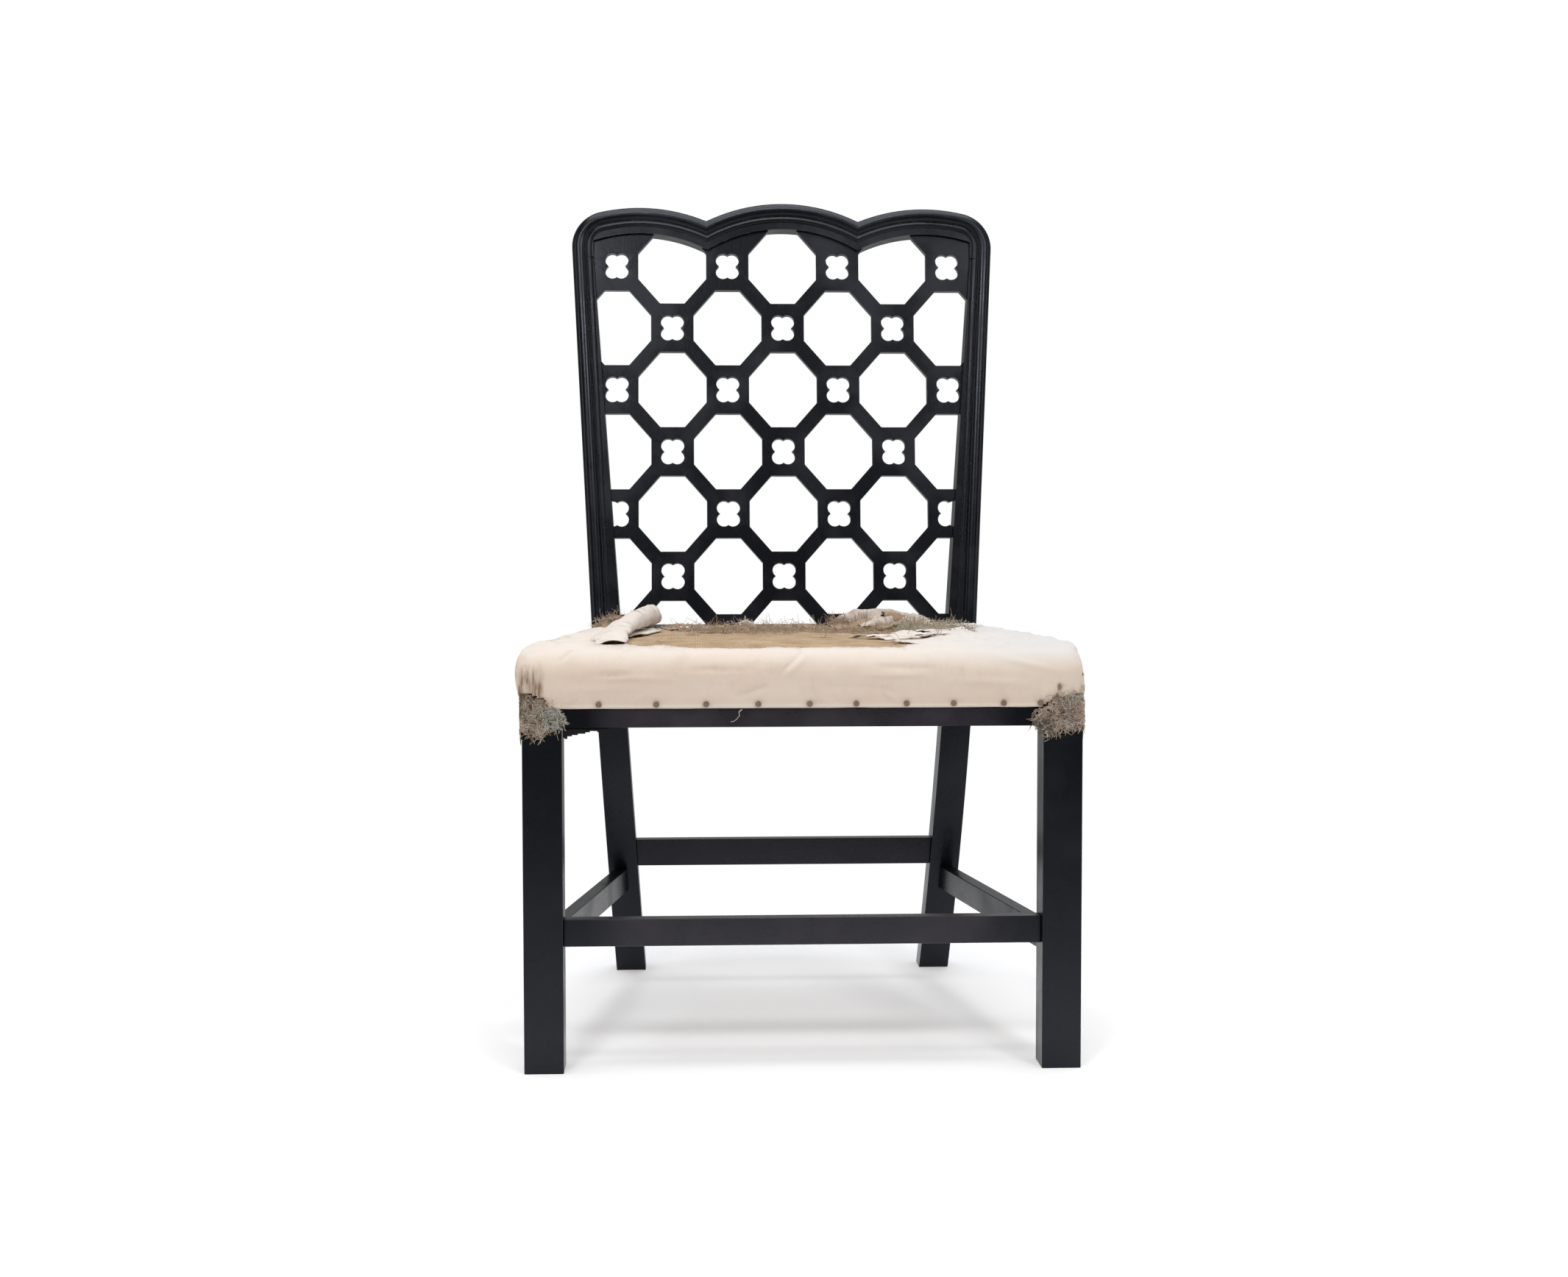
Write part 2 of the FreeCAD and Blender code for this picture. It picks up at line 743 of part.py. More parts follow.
def seat_wire(out, z, rear_y, radius):
    """Seat outline in plan with rounded front corners, out beyond the faces of the legs and rails."""
    front_y = -out
    kink_y = max(leg_square, front_y + radius + over)
    corner_x = side_x(kink_y, out)
    turn = radius * (1 - 1 / math.sqrt(2))
    start = V(corner_x - radius, front_y, z)
    middle = V(corner_x - turn, front_y + turn, z)
    end = V(corner_x, front_y + radius, z)
    kink = V(corner_x, kink_y, z)
    rear = V(side_x(rear_y, out), rear_y, z)

    def left(point):
        return V(-point.x, point.y, point.z)

    edges = [
        Part.makeLine(left(start), start),
        Part.Arc(start, middle, end).toShape(),
        Part.makeLine(end, kink),
        Part.makeLine(kink, rear),
        Part.makeLine(rear, left(rear)),
        Part.makeLine(left(rear), left(kink)),
        Part.makeLine(left(kink), left(end)),
        Part.Arc(left(end), left(middle), left(start)).toShape(),
    ]
    return Part.Wire(edges)


# Height and reach beyond the rails, as shares of the skirt's height and the bulge
skirt_level_shares = [(0.0, 0.375), (0.33, 0.75), (1.0, 1.0)]
skirt_height = rail_top - skirt_bottom
# Angles of the levels on the rolled edge, in degrees
edge_turns = [25, 50, 70, 90]
# The cover's outside, from its lower edge to its crown
cover_levels = [(skirt_bottom + skirt_height * up, bulge * out) for up, out in skirt_level_shares]
for turn in edge_turns:
    angle = math.radians(turn)
    roll_in = edge_roll * (1 - math.cos(angle))
    cover_levels.append((rail_top + edge_rise * math.sin(angle), bulge - roll_in))
cover_levels += [
    (edge_height + crown_rise / 2, -crown_start),
    (edge_height + crown_rise, -crown_full),
]


def layer_solid(depth, bottom):
    """The seat's form, shrunk by depth, closed below at bottom."""
    rear_y = shoe_front - soft_gap - depth
    levels = []
    for z, out in cover_levels:
        level = z if z <= rail_top else z - depth
        past_leg = out if z <= rail_top else bulge
        radius = cloth_thickness + corner_round_share * (past_leg - cloth_thickness) - depth
        if level >= bottom:
            levels.append((level, out - depth, radius))
    lowest, lowest_out, lowest_radius = levels[0]
    if lowest > bottom:
        levels.insert(0, (bottom, lowest_out, lowest_radius))
    wires = [seat_wire(out, z, rear_y, radius) for z, out, radius in levels]
    return Part.makeLoft(wires, True, True)


def cover_top(x, y):
    """Height of the cover's top at a place in plan."""
    inset = min(side_x(y) - abs(x), y)
    height = edge_height
    for (low, out), (high, next_out) in zip(cover_levels, cover_levels[1:]):
        if next_out < out and -next_out <= inset:
            height = high
        elif -out < inset < -next_out:
            height = low + (high - low) * (inset + out) / (out - next_out)
    return height


# Front tacks, driven by hand at uneven places: shares of the run between the front legs
front_tack_shares = [-0.847, -0.610, -0.404, -0.189, 0.024, 0.217, 0.426, 0.622, 0.831, 0.985]

# Outline of the tear, as shares of the seat's half width and depth
tear_shares = [
    (-0.72, 0.10), (-0.38, 0.07), (0.05, 0.08), (0.40, 0.07), (0.62, 0.16), (0.44, 0.27),
    (0.56, 0.40), (0.38, 0.52), (0.50, 0.68), (0.30, 0.80), (0.52, 0.93), (-0.35, 0.97),
    (-0.62, 0.90), (-0.55, 0.70), (-0.68, 0.55), (-0.60, 0.36), (-0.78, 0.25),
]


def tear_solid():
    points = [(front_half * sx, seat_depth * sy) for sx, sy in tear_shares]
    return plan_prism(points, rail_top + edge_rise / 2, reach)


def lens_wire(centre, width, height, base_z, across):
    """Half lens: flat below, an arc above, standing across the way a fold runs."""
    a = V(centre[0] - across[0] * width / 2, centre[1] - across[1] * width / 2, base_z)
    b = V(centre[0] + across[0] * width / 2, centre[1] + across[1] * width / 2, base_z)
    top = V(centre[0], centre[1], base_z + height)
    return Part.Wire([Part.Arc(a, top, b).toShape(), Part.makeLine(b, a)])


def fold(start, end, shares, width, height):
    """Roll of torn cloth from start to end; shares give place, width and height along it."""
    length = math.hypot(end[0] - start[0], end[1] - start[1])
    across = ((end[1] - start[1]) / length, -(end[0] - start[0]) / length)
    sections = []
    ground = []
    for along, wide, high in shares:
        centre = (start[0] + (end[0] - start[0]) * along, start[1] + (end[1] - start[1]) * along)
        sections.append((centre, width * wide, height * high))
        for side in (-wide / 2, 0, wide / 2):
            ground.append(cover_top(centre[0] + across[0] * width * side,
                                    centre[1] + across[1] * width * side))
    base_z = max(ground) + soft_gap
    wires = [lens_wire(centre, wide, high, base_z, across) for centre, wide, high in sections]
    return Part.makeLoft(wires, True, True)


# Place, width and height along each roll of torn cloth, as shares
flap_left_shares = [
    (0.0, 0.35, 0.25), (0.3, 0.8, 0.55), (0.6, 1.0, 0.8), (0.85, 0.9, 1.0), (1.0, 0.5, 0.6),
]
flap_right_shares = [
    (0.0, 0.3, 0.2), (0.25, 0.9, 0.45), (0.55, 1.0, 0.35), (0.8, 0.8, 0.5), (1.0, 0.3, 0.2),
]
heap_shares = [
    (0.0, 0.3, 0.3), (0.2, 0.8, 0.85), (0.45, 1.0, 1.0), (0.75, 0.7, 0.8), (1.0, 0.3, 0.25),
]

# Start and end of each roll, as shares of the seat's half width and depth
flap_left_place_shares = [(-0.74, 0.50), (-0.56, 0.93)]
flap_right_place_shares = [(0.30, 0.24), (0.72, 0.50)]
heap_place_shares = [(0.16, 0.92), (0.64, 0.90)]


def placed_fold(place_shares, shares, width, height):
    ends = [(front_half * sx, seat_depth * sy) for sx, sy in place_shares]
    return fold(ends[0], ends[1], shares, width, height)


def tuft_ring(z, thickness):
    """Square round the outer corner of the right front leg, standing thickness off it."""
    inner = front_half - tuft_spread
    outer = front_half + thickness
    ring = [(inner, -thickness), (outer, -thickness), (outer, tuft_spread), (inner, tuft_spread)]
    return Part.makePolygon([V(x, y, z) for x, y in ring + ring[:1]])


# Height above the tuft's lower end and thickness, as shares of its drop and bulge
tuft_shares = [(0.0, 0.3), (0.2, 0.85), (0.45, 1.0), (0.75, 0.8), (1.0, 0.35)]


def tuft_solid():
    top = skirt_bottom - soft_gap
    wires = []
    for up, thick in tuft_shares:
        wires.append(tuft_ring(top - tuft_drop * (1 - up), tuft_bulge * thick + soft_gap))
    solid = Part.makeLoft(wires, True, True)
    leg = box(-reach, front_half + soft_gap, -soft_gap, reach, -reach, reach)
    return biggest(solid.cut(leg))


# Make the wooden blanks
post_blank = post_side_profile().common(raked(front_prism(post_front_outline(), -reach / 2, reach / 2)))
post_blank = biggest(post_blank)
leg_blank = box(front_half - leg_square, front_half, 0, leg_square, 0, rail_top)
crest, meeting = crest_blank()
groove = raked(panel_solid(fit_gap))

# Seat rails
front_inner = front_half - leg_square
front_rail = box(-front_inner, front_inner, 0, rail_thickness, rail_underside, rail_top)
front_rail = fused([front_rail, front_rail_tenon(), mirrored(front_rail_tenon())])

inner_step = rail_thickness * math.hypot(1, taper)
side_rail = plan_prism([
    (side_x(leg_square), leg_square),
    (side_x(seat_depth), seat_depth),
    (side_x(seat_depth) - inner_step, seat_depth),
    (side_x(leg_square) - inner_step, leg_square),
], rail_underside, rail_top)
side_rail = fused([side_rail, side_rail_front_tenon(), side_rail_rear_tenon()])

rear_rail = box(-knee_half, knee_half, seat_depth, seat_depth + rear_rail_thickness,
                rail_underside, rail_top)
rear_rail = biggest(rear_rail.cut(post_blank).cut(mirrored(post_blank)))
rear_rail = fused([rear_rail, rear_rail_tenon(), mirrored(rear_rail_tenon())])

# Stretchers
front_stretcher = box(-front_inner, front_inner, front_stretcher_set,
                      front_stretcher_set + front_stretcher_thickness,
                      front_stretcher_top - stretcher_height, front_stretcher_top)
front_stretcher = fused([front_stretcher, front_stretcher_tenon(), mirrored(front_stretcher_tenon())])

rear_mid_z = rear_stretcher_top - rear_stretcher_height / 2
rear_front = post_front_y(rear_mid_z) + rear_stretcher_set
rear_stretcher = box(-foot_half, foot_half, rear_front, rear_front + rear_stretcher_thickness,
                     rear_stretcher_top - rear_stretcher_height, rear_stretcher_top)
rear_stretcher = biggest(rear_stretcher.cut(post_blank).cut(mirrored(post_blank)))
rear_stretcher = fused([rear_stretcher, rear_stretcher_tenon(), mirrored(rear_stretcher_tenon())])

front_end, rear_end = side_stretcher_ends()
past = (rear_end[0] + (rear_end[0] - front_end[0]) * foot_depth / (2 * (rear_end[1] - front_end[1])),
        rear_end[1] + foot_depth / 2)
side_stretcher = plan_prism([
    front_end,
    past,
    (past[0] - side_stretcher_thickness, past[1]),
    (front_end[0] - side_stretcher_thickness, front_end[1]),
], side_stretcher_top - stretcher_height, side_stretcher_top)
nearer_post = post_blank.copy()
nearer_post.translate(V(0, -fit_gap, 0))
side_stretcher = biggest(side_stretcher.cut(nearer_post))
front_stub, rear_stub = side_stretcher_tenons()
side_stretcher = fused([side_stretcher, front_stub, rear_stub])

# Braces and their screws
front_brace, front_screws, front_screw_holes = brace_with_screws(True)
rear_brace, rear_screws, rear_screw_holes = brace_with_screws(False)
screw_holes = front_screw_holes + rear_screw_holes

# Webbing straps and their tacks
web_low = rail_top
web_high = web_low + web_thickness + soft_gap
web_front = rail_thickness - web_lap
web_rear = shoe_front - soft_gap
long_straps = []
long_spacing = (2 * (knee_half - knee_post_width)) / web_count_long
strap_centres = [(index - (web_count_long - 1) / 2) * long_spacing for index in range(web_count_long)]
web_tack_places = []
for centre_x in strap_centres:
    long_straps.append(box(centre_x - web_width / 2, centre_x + web_width / 2, web_front, web_rear,
                           web_low, web_low + web_thickness))
    for across in (-1, 0, 1):
        tack_x = centre_x + across * web_width / 3
        web_tack_places.append(V(tack_x, web_front + web_tack_edge, web_low + web_thickness))

cross_straps = []
cross_run = seat_depth - rail_thickness
cross_spacing = cross_run / web_count_cross
for index in range(web_count_cross):
    centre_y = rail_thickness + cross_spacing * (index + 1 / 2)
    half_width = web_width / 2
    lap_in = inner_step - web_lap
    outline = [
        (side_x(centre_y - half_width) - lap_in, centre_y - half_width),
        (side_x(centre_y + half_width) - lap_in, centre_y + half_width),
    ]
    outline += [flip(point) for point in reversed(outline)]
    cross_straps.append(plan_prism(outline, web_high, web_high + web_thickness))
    for across in (-1, 0, 1):
        tack_y = centre_y + across * web_width / 3
        tack_x = side_x(tack_y) - lap_in - web_tack_edge
        web_tack_places.append(V(tack_x, tack_y, web_high + web_thickness))
        web_tack_places.append(V(-tack_x, tack_y, web_high + web_thickness))

web_tacks = []
web_tack_holes = []
for place in web_tack_places:
    body, hole = tack(place, DOWN)
    web_tacks.append(body)
    web_tack_holes.append(hole)
web_hole_group = group(web_tack_holes)
long_webbing = group(long_straps).cut(web_hole_group)
cross_webbing = group(cross_straps).cut(web_hole_group)

# Hessian over the webbing, the stuffing, its hessian cover and the calico over all
web_top = web_high + web_thickness + tack_head_height
base_z = web_top + soft_gap
base_inset = web_lap / 2
base_wire = seat_wire(-base_inset, base_z, shoe_front - soft_gap, base_inset)
hessian_base = Part.Face(base_wire).extrude(V(0, 0, base_thickness))
post_notch = box(knee_half - knee_post_width - soft_gap, reach, seat_depth - soft_gap, reach, -reach, reach)


def clear_of_posts(shape):
    return biggest(shape.cut(post_notch).cut(mirrored(post_notch)))


hessian_base = clear_of_posts(hessian_base)
stuffing_bottom = base_z + base_thickness + soft_gap
scrim_depth = cloth_thickness + soft_gap
stuffing_depth = scrim_depth + hessian_thickness + soft_gap
stuffing = clear_of_posts(layer_solid(stuffing_depth, stuffing_bottom))
scrim_inside = layer_solid(scrim_depth + hessian_thickness, stuffing_bottom - over)
scrim = layer_solid(scrim_depth, stuffing_bottom).cut(scrim_inside)
scrim = clear_of_posts(scrim)
cover_inside = layer_solid(cloth_thickness, skirt_bottom - over)
cover = layer_solid(0.0, skirt_bottom).cut(cover_inside)
rear_opening = box(-reach, reach, seat_depth - soft_gap, reach, -reach, rail_top + soft_gap)
cover = clear_of_posts(cover.cut(rear_opening))
cover = biggest(cover.cut(tear_solid()))

# Tacks along the lower edge of the cover
cover_tack_z = skirt_bottom + cover_tack_up


def cover_out(z):
    """How far the cover's outside stands off the rails at height z, near its lower edge."""
    low, high = cover_levels[0], cover_levels[1]
    return low[1] + (high[1] - low[1]) * (z - low[0]) / (high[0] - low[0])


tack_out = cover_out(cover_tack_z + tack_head / 2)
front_tacks = []
for share in front_tack_shares:
    front_tacks.append(tack(V(share * front_inner, -tack_out - fit_gap, cover_tack_z), Y_AXIS))
side_tacks = []
side_direction = V(-1, -taper, 0).normalize()
side_tack_run = seat_depth - side_tack_rear - leg_square - side_tack_front
for index in range(math.floor(side_tack_run / tack_pitch) + 1):
    y = leg_square + side_tack_front + tack_pitch * index
    side_tacks.append(tack(V(side_x(y, tack_out + fit_gap), y, cover_tack_z), side_direction))
right_side_tacks = [body for body, hole in side_tacks]
right_side_holes = [hole for body, hole in side_tacks]
left_side_tacks = [mirrored(body) for body in right_side_tacks]
left_side_holes = [mirrored(hole) for hole in right_side_holes]
front_tack_holes = [hole for body, hole in front_tacks]
cover_holes = group(front_tack_holes + right_side_holes + left_side_holes)
cover = biggest(cover.cut(cover_holes))

# Shoe and lattice
shoe_top = knee_height + shoe_sight * math.cos(lean) - fret_setback * math.sin(lean)
shoe_back = shoe_front + shoe_thickness
shoe_points = [
    V(-knee_half, shoe_front, rail_top),
    V(-knee_half, shoe_front, shoe_top - shoe_nose),
    V(-knee_half, shoe_front + shoe_nose / 2, shoe_top),
    V(-knee_half, shoe_back, shoe_top),
    V(-knee_half, shoe_back, rail_top),
]
shoe = Part.Face(Part.makePolygon(shoe_points + shoe_points[:1])).extrude(V(2 * knee_half, 0, 0))
shoe = biggest(shoe.cut(post_blank).cut(mirrored(post_blank)))
shoe = biggest(shoe.cut(groove))

panel = panel_solid()
holes = group(lattice_holes()).common(sight_solid())
panel = raked(biggest(panel.cut(holes)))

# Crest rail with its moulding, groove and mortises
for waste in crest_waste(meeting):
    crest = crest.cut(waste)
crest = raked(biggest(crest)).cut(groove)
crest = crest.cut(crest_tenon(fit_gap)).cut(mirrored(crest_tenon(fit_gap)))
crest = biggest(crest)

# Finish the posts
post = post_blank.cut(raked(moulding_straight(moulding_start, stile_length + over)))
post = post.cut(groove)
for mortise in (side_rail_rear_tenon(fit_gap), rear_rail_tenon(fit_gap),
                rear_stretcher_tenon(fit_gap), side_stretcher_tenons(fit_gap)[1]):
    post = post.cut(mortise)
post = biggest(post)
post = fused([post, crest_tenon()])

# Finish the front legs
leg = leg_blank
for mortise in (front_rail_tenon(fit_gap), side_rail_front_tenon(fit_gap),
                front_stretcher_tenon(fit_gap), side_stretcher_tenons(fit_gap)[0]):
    leg = leg.cut(mortise)
leg = biggest(leg)

# Holes of screws and tacks in the rails and legs
both_screw_holes = group(screw_holes + [mirrored(hole) for hole in screw_holes])
front_rail = front_rail.cut(both_screw_holes).cut(web_hole_group).cut(cover_holes)
rear_rail = rear_rail.cut(both_screw_holes)
side_rail = side_rail.cut(both_screw_holes).cut(web_hole_group).cut(cover_holes)
leg = biggest(leg.cut(cover_holes))

# Black cloth left under the front rail
remnant_start = over - front_inner
remnant = box(remnant_start, remnant_start + remnant_length, over, remnant_width,
              rail_underside - remnant_thickness, rail_underside)
hanging = box(remnant_start, remnant_start + remnant_length / 2,
              over, over + remnant_thickness, rail_underside - remnant_hang, rail_underside)
remnant = fused([remnant, hanging])

save_pair("front_leg", leg)
save_pair("back_post", post)
save("crest_rail", crest)
save("lattice_panel", panel)
save("lattice_shoe", shoe)
save("seat_rail_front", biggest(front_rail))
save("seat_rail_rear", biggest(rear_rail))
save_pair("seat_rail", biggest(side_rail))
save("stretcher_front", front_stretcher)
save("stretcher_rear", rear_stretcher)
save_pair("stretcher", side_stretcher)
save_pair("corner_brace_front", front_brace)
save_pair("corner_brace_rear", rear_brace)
all_screws = front_screws + rear_screws
save("corner_brace_screws", group(all_screws + [mirrored(body) for body in all_screws]))
save("webbing_long", long_webbing)
save("webbing_cross", cross_webbing)
save("webbing_tacks", group(web_tacks))
save("hessian_base", hessian_base)
save("seat_stuffing", stuffing)
save("hessian_cover", scrim)
save("calico_cover", cover)
save("cover_tacks_front", group([body for body, hole in front_tacks]))
save("cover_tacks_right", group(right_side_tacks))
save("cover_tacks_left", group(left_side_tacks))
save("calico_flap_left", placed_fold(flap_left_place_shares, flap_left_shares, flap_width, flap_height))
save("calico_flap_right", placed_fold(flap_right_place_shares, flap_right_shares, flap_width, flap_height))
save("torn_heap", placed_fold(heap_place_shares, heap_shares, heap_width, heap_height))
save_pair("corner_tuft", tuft_solid())
save("bottom_cloth_remnant", remnant)
print("depth", deepest + foremost, "middle", middle_y)
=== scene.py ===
# %% [markdown]
# # A black side chair with a torn seat
#
# The chair is black lacquered wood: four square legs tied by four stretchers, a back that leans
# away from the sitter, and a pierced lattice between the two back posts. Its seat is stuffed over
# the rails. The plain calico that covers the stuffing is torn open, so that the hessian and the
# fibre below it show. The wood arrives from the CAD model with its true shape, and gets its finish
# here. Everything soft is made here, because cloth needs folds, ragged edges and loose threads.

# %% Load the chair's frame
import math
import random

import bpy
import numpy as np
from mathutils import Matrix, Vector, noise


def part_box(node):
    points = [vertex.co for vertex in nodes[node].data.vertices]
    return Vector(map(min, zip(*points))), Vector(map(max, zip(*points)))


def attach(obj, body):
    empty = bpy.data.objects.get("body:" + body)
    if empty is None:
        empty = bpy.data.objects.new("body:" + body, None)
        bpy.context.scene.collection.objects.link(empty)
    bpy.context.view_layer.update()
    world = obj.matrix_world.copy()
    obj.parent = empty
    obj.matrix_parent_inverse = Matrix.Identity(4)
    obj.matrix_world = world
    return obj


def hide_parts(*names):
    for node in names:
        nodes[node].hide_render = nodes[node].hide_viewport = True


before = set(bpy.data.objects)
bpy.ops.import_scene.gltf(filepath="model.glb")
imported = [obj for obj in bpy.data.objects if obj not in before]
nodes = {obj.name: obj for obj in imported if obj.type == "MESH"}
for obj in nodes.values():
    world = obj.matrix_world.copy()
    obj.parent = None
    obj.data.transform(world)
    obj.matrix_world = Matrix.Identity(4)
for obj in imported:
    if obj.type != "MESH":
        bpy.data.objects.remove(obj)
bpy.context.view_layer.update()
MM = 0.001


# %% Put an object in the scene
def placed(name, data):
    thing = bpy.data.objects.new(name, data)
    bpy.context.scene.collection.objects.link(thing)
    return thing


# %% [markdown]
# ## The camera
# The photograph was taken from a little left of the chair and from just over seat height. The
# camera's place and turn were worked out from the chair's own square corners. A camera matrix is
# built from three directions, because that states the small tilt to the side exactly, where a
# chain of turns would leave the reader to multiply them out.

# %% Set the camera
PHOTO_WIDTH = 2131
FOCAL_PIXELS = 2888
SENSOR_WIDTH = 36.0
camera_place = Vector((-0.1156, -2.4538, 0.5682))
camera_yaw, camera_pitch, camera_roll = 0.0436, 0.0535, -0.0011

level_forward = Vector((math.sin(camera_yaw), math.cos(camera_yaw), 0))
level_right = Vector((math.cos(camera_yaw), -math.sin(camera_yaw), 0))
upright = Vector((0, 0, 1))
forward = level_forward * math.cos(camera_pitch) - upright * math.sin(camera_pitch)
above = upright * math.cos(camera_pitch) + level_forward * math.sin(camera_pitch)
camera_right = level_right * math.cos(camera_roll) + above * math.sin(camera_roll)
camera_up = above * math.cos(camera_roll) - level_right * math.sin(camera_roll)

camera_data = bpy.data.cameras.new("photo_camera")
camera_data.sensor_width = SENSOR_WIDTH
camera_data.lens = SENSOR_WIDTH * FOCAL_PIXELS / PHOTO_WIDTH
camera = placed("photo_camera", camera_data)
turn = Matrix((camera_right, camera_up, -forward)).transposed().to_4x4()
camera.matrix_world = Matrix.Translation(camera_place) @ turn
bpy.context.scene.camera = camera
bpy.context.scene.view_settings.view_transform = "Standard"
print("camera lens", round(camera_data.lens, 2), "mm")

# %% [markdown]
# ## Sums of sockets
# A material's pattern is arithmetic on textures. Wiring it node by node hides the formula, so a
# small class wraps a socket and lets Python's own signs add the Math nodes. A second class holds
# one material while it is made, and has a single method for every other kind of node.

# %% A socket that takes part in sums
class Value:
    def __init__(self, tree, socket):
        self.tree = tree
        self.socket = socket

    def sum_node(self, operation, *terms):
        node = self.tree.nodes.new("ShaderNodeMath")
        node.operation = operation
        for place, term in zip(node.inputs, terms):
            connect(self.tree, place, term)
        return Value(self.tree, node.outputs[0])

    def __add__(self, other):
        return self.sum_node("ADD", self, other)

    def __radd__(self, other):
        return self.sum_node("ADD", other, self)

    def __sub__(self, other):
        return self.sum_node("SUBTRACT", self, other)

    def __rsub__(self, other):
        return self.sum_node("SUBTRACT", other, self)

    def __mul__(self, other):
        return self.sum_node("MULTIPLY", self, other)

    def __rmul__(self, other):
        return self.sum_node("MULTIPLY", other, self)

    def __gt__(self, other):
        return self.sum_node("GREATER_THAN", self, other)

    def wave(self):
        return self.sum_node("SINE", self)

    def size(self):
        return self.sum_node("ABSOLUTE", self)

    def clamped(self):
        held = self.sum_node("ADD", self, 0.0)
        held.socket.node.use_clamp = True
        return held


def connect(tree, place, term):
    if isinstance(term, Value):
        tree.links.new(term.socket, place)
    else:
        place.default_value = term


# %% A material while it is made
class Finish:
    def __init__(self, name, constants=()):
        self.material = bpy.data.materials.new(name)
        self.material.use_nodes = True
        self.tree = self.material.node_tree
        self.shader = self.tree.nodes["Principled BSDF"]
        for socket, value in dict(constants).items():
            self.shader.inputs[socket].default_value = value

    def node(self, kind, settings=(), inputs=(), output=0):
        made = self.tree.nodes.new("ShaderNode" + kind)
        for name, value in dict(settings).items():
            setattr(made, name, value)
        for name, value in dict(inputs).items():
            connect(self.tree, made.inputs[name], value)
        return Value(self.tree, made.outputs[output])

    def place(self, stretch=(1, 1, 1)):
        """Where a point is on the chair, in metres, stretched along the three axes."""
        whole = self.node("TexCoord", output=3)
        return self.node("Mapping", inputs={"Vector": whole, "Scale": stretch})

    def cloth_place(self):
        """Where a point is on the flat cloth, across and along, in metres."""
        held = self.node("Attribute", {"attribute_name": "cloth"}, output=1)
        return self.parts(held)[:2]

    def parts(self, where):
        """The three parts of a place: across, deep and up."""
        across = self.node("SeparateXYZ", inputs={"Vector": where})
        return [Value(self.tree, outlet) for outlet in across.socket.node.outputs]

    def noise(self, size, where, detail=3.0, rough=0.55):
        settings = {"Scale": 1 / size, "Vector": where, "Detail": detail, "Roughness": rough}
        return self.node("TexNoise", inputs=settings)

    def between(self, value, low, high):
        """0 below low, 1 above high, and a straight climb between them."""
        limits = {"Value": value, "From Min": low, "From Max": high}
        return self.node("MapRange", {"clamp": True}, limits)

    def blend(self, mask, first, second):
        return self.node("Mix", {"data_type": "RGBA"}, {0: mask, 6: first, 7: second}, output=2)

    def finish(self, color=None, roughness=None, height=None, depth=0.0, strength=1.0):
        if color is not None:
            connect(self.tree, self.shader.inputs["Base Color"], color)
        if roughness is not None:
            connect(self.tree, self.shader.inputs["Roughness"], roughness)
        if height is not None:
            relief = {"Height": height, "Distance": depth, "Strength": strength}
            connect(self.tree, self.shader.inputs["Normal"], self.node("Bump", inputs=relief))
        print("finish", self.material.name, "with", len(self.tree.nodes), "nodes")
        return self.material


# %% [markdown]
# ## Black lacquer
# The lacquer is old gloss paint over wood. Close to, it has brush lines along each stick, dull
# patches where hands and cloths have rubbed it, fine dust, and small chips at the arrises that
# show grey wood. The brush lines must run along the stick, so one function makes a version for
# upright, crosswise and front-to-back sticks, and two worn ones for the rail and stretchers that
# feet and hands rub. A single version would put lines across the grain on most of the chair.

# %% Make the lacquer
LACQUER = (0.0013, 0.0014, 0.0026, 1)
RUBBED = (0.0052, 0.0052, 0.0086, 1)
WORN_PALE = (0.036, 0.031, 0.036, 1)
RUB_HALF = 205 * MM
RUB_FADE = 0.045
CHIPPED = (0.16, 0.14, 0.12, 1)
GLOSS = {"IOR": 1.5, "Specular IOR Level": 0.37, "Specular Tint": (0.83, 0.88, 1.0, 1)}
ALONG_STICK = 0.06


def lacquer(name, along, rub=0.0):
    """Brush lines run along one axis; rub is how far the middle of a front rail has worn pale."""
    paint = Finish(name, GLOSS)
    whole = paint.place()
    brushed = paint.place([ALONG_STICK if axis == along else 1.0 for axis in range(3)])
    patches = paint.between(paint.noise(70 * MM, whole, 4), 0.45, 0.72)
    brush_lines = paint.noise(1.6 * MM, brushed, 4, 0.7)
    ripple = paint.noise(14 * MM, whole, 2)
    dust = paint.noise(0.9 * MM, whole, 2)
    edge_turn = paint.node("Bevel", {"samples": 4}, {"Radius": 1.6 * MM})
    facing = paint.node("NewGeometry", output=1)
    same = paint.node("VectorMath", {"operation": "DOT_PRODUCT"}, {0: edge_turn, 1: facing}, 1)
    arris = paint.between(1 - same, 0.02, 0.16)
    worn = paint.between(paint.noise(9 * MM, whole, 5, 0.7), 0.56, 0.70) * arris
    chips = paint.between(paint.noise(5 * MM, whole, 4, 0.8), 0.735, 0.75) * 0.55
    color = paint.blend(patches * 0.65 + 0.25 * (dust > 0.62), LACQUER, RUBBED)
    if rub:
        across = paint.parts(whole)[0].size() + 0.05 * paint.noise(60 * MM, whole, 3)
        middle = 1 - paint.between(across, RUB_HALF, RUB_HALF + RUB_FADE)
        color = paint.blend(middle * rub * (0.6 + 0.4 * patches), color, WORN_PALE)
    color = paint.blend((worn * 0.55 + chips).clamped(), color, CHIPPED)
    roughness = 0.23 + 0.15 * patches + 0.08 * brush_lines + 0.3 * worn
    height = brush_lines * 0.35 + ripple * 1.0 - chips * 0.8
    return paint.finish(color, roughness, height, 0.35 * MM, 0.24)


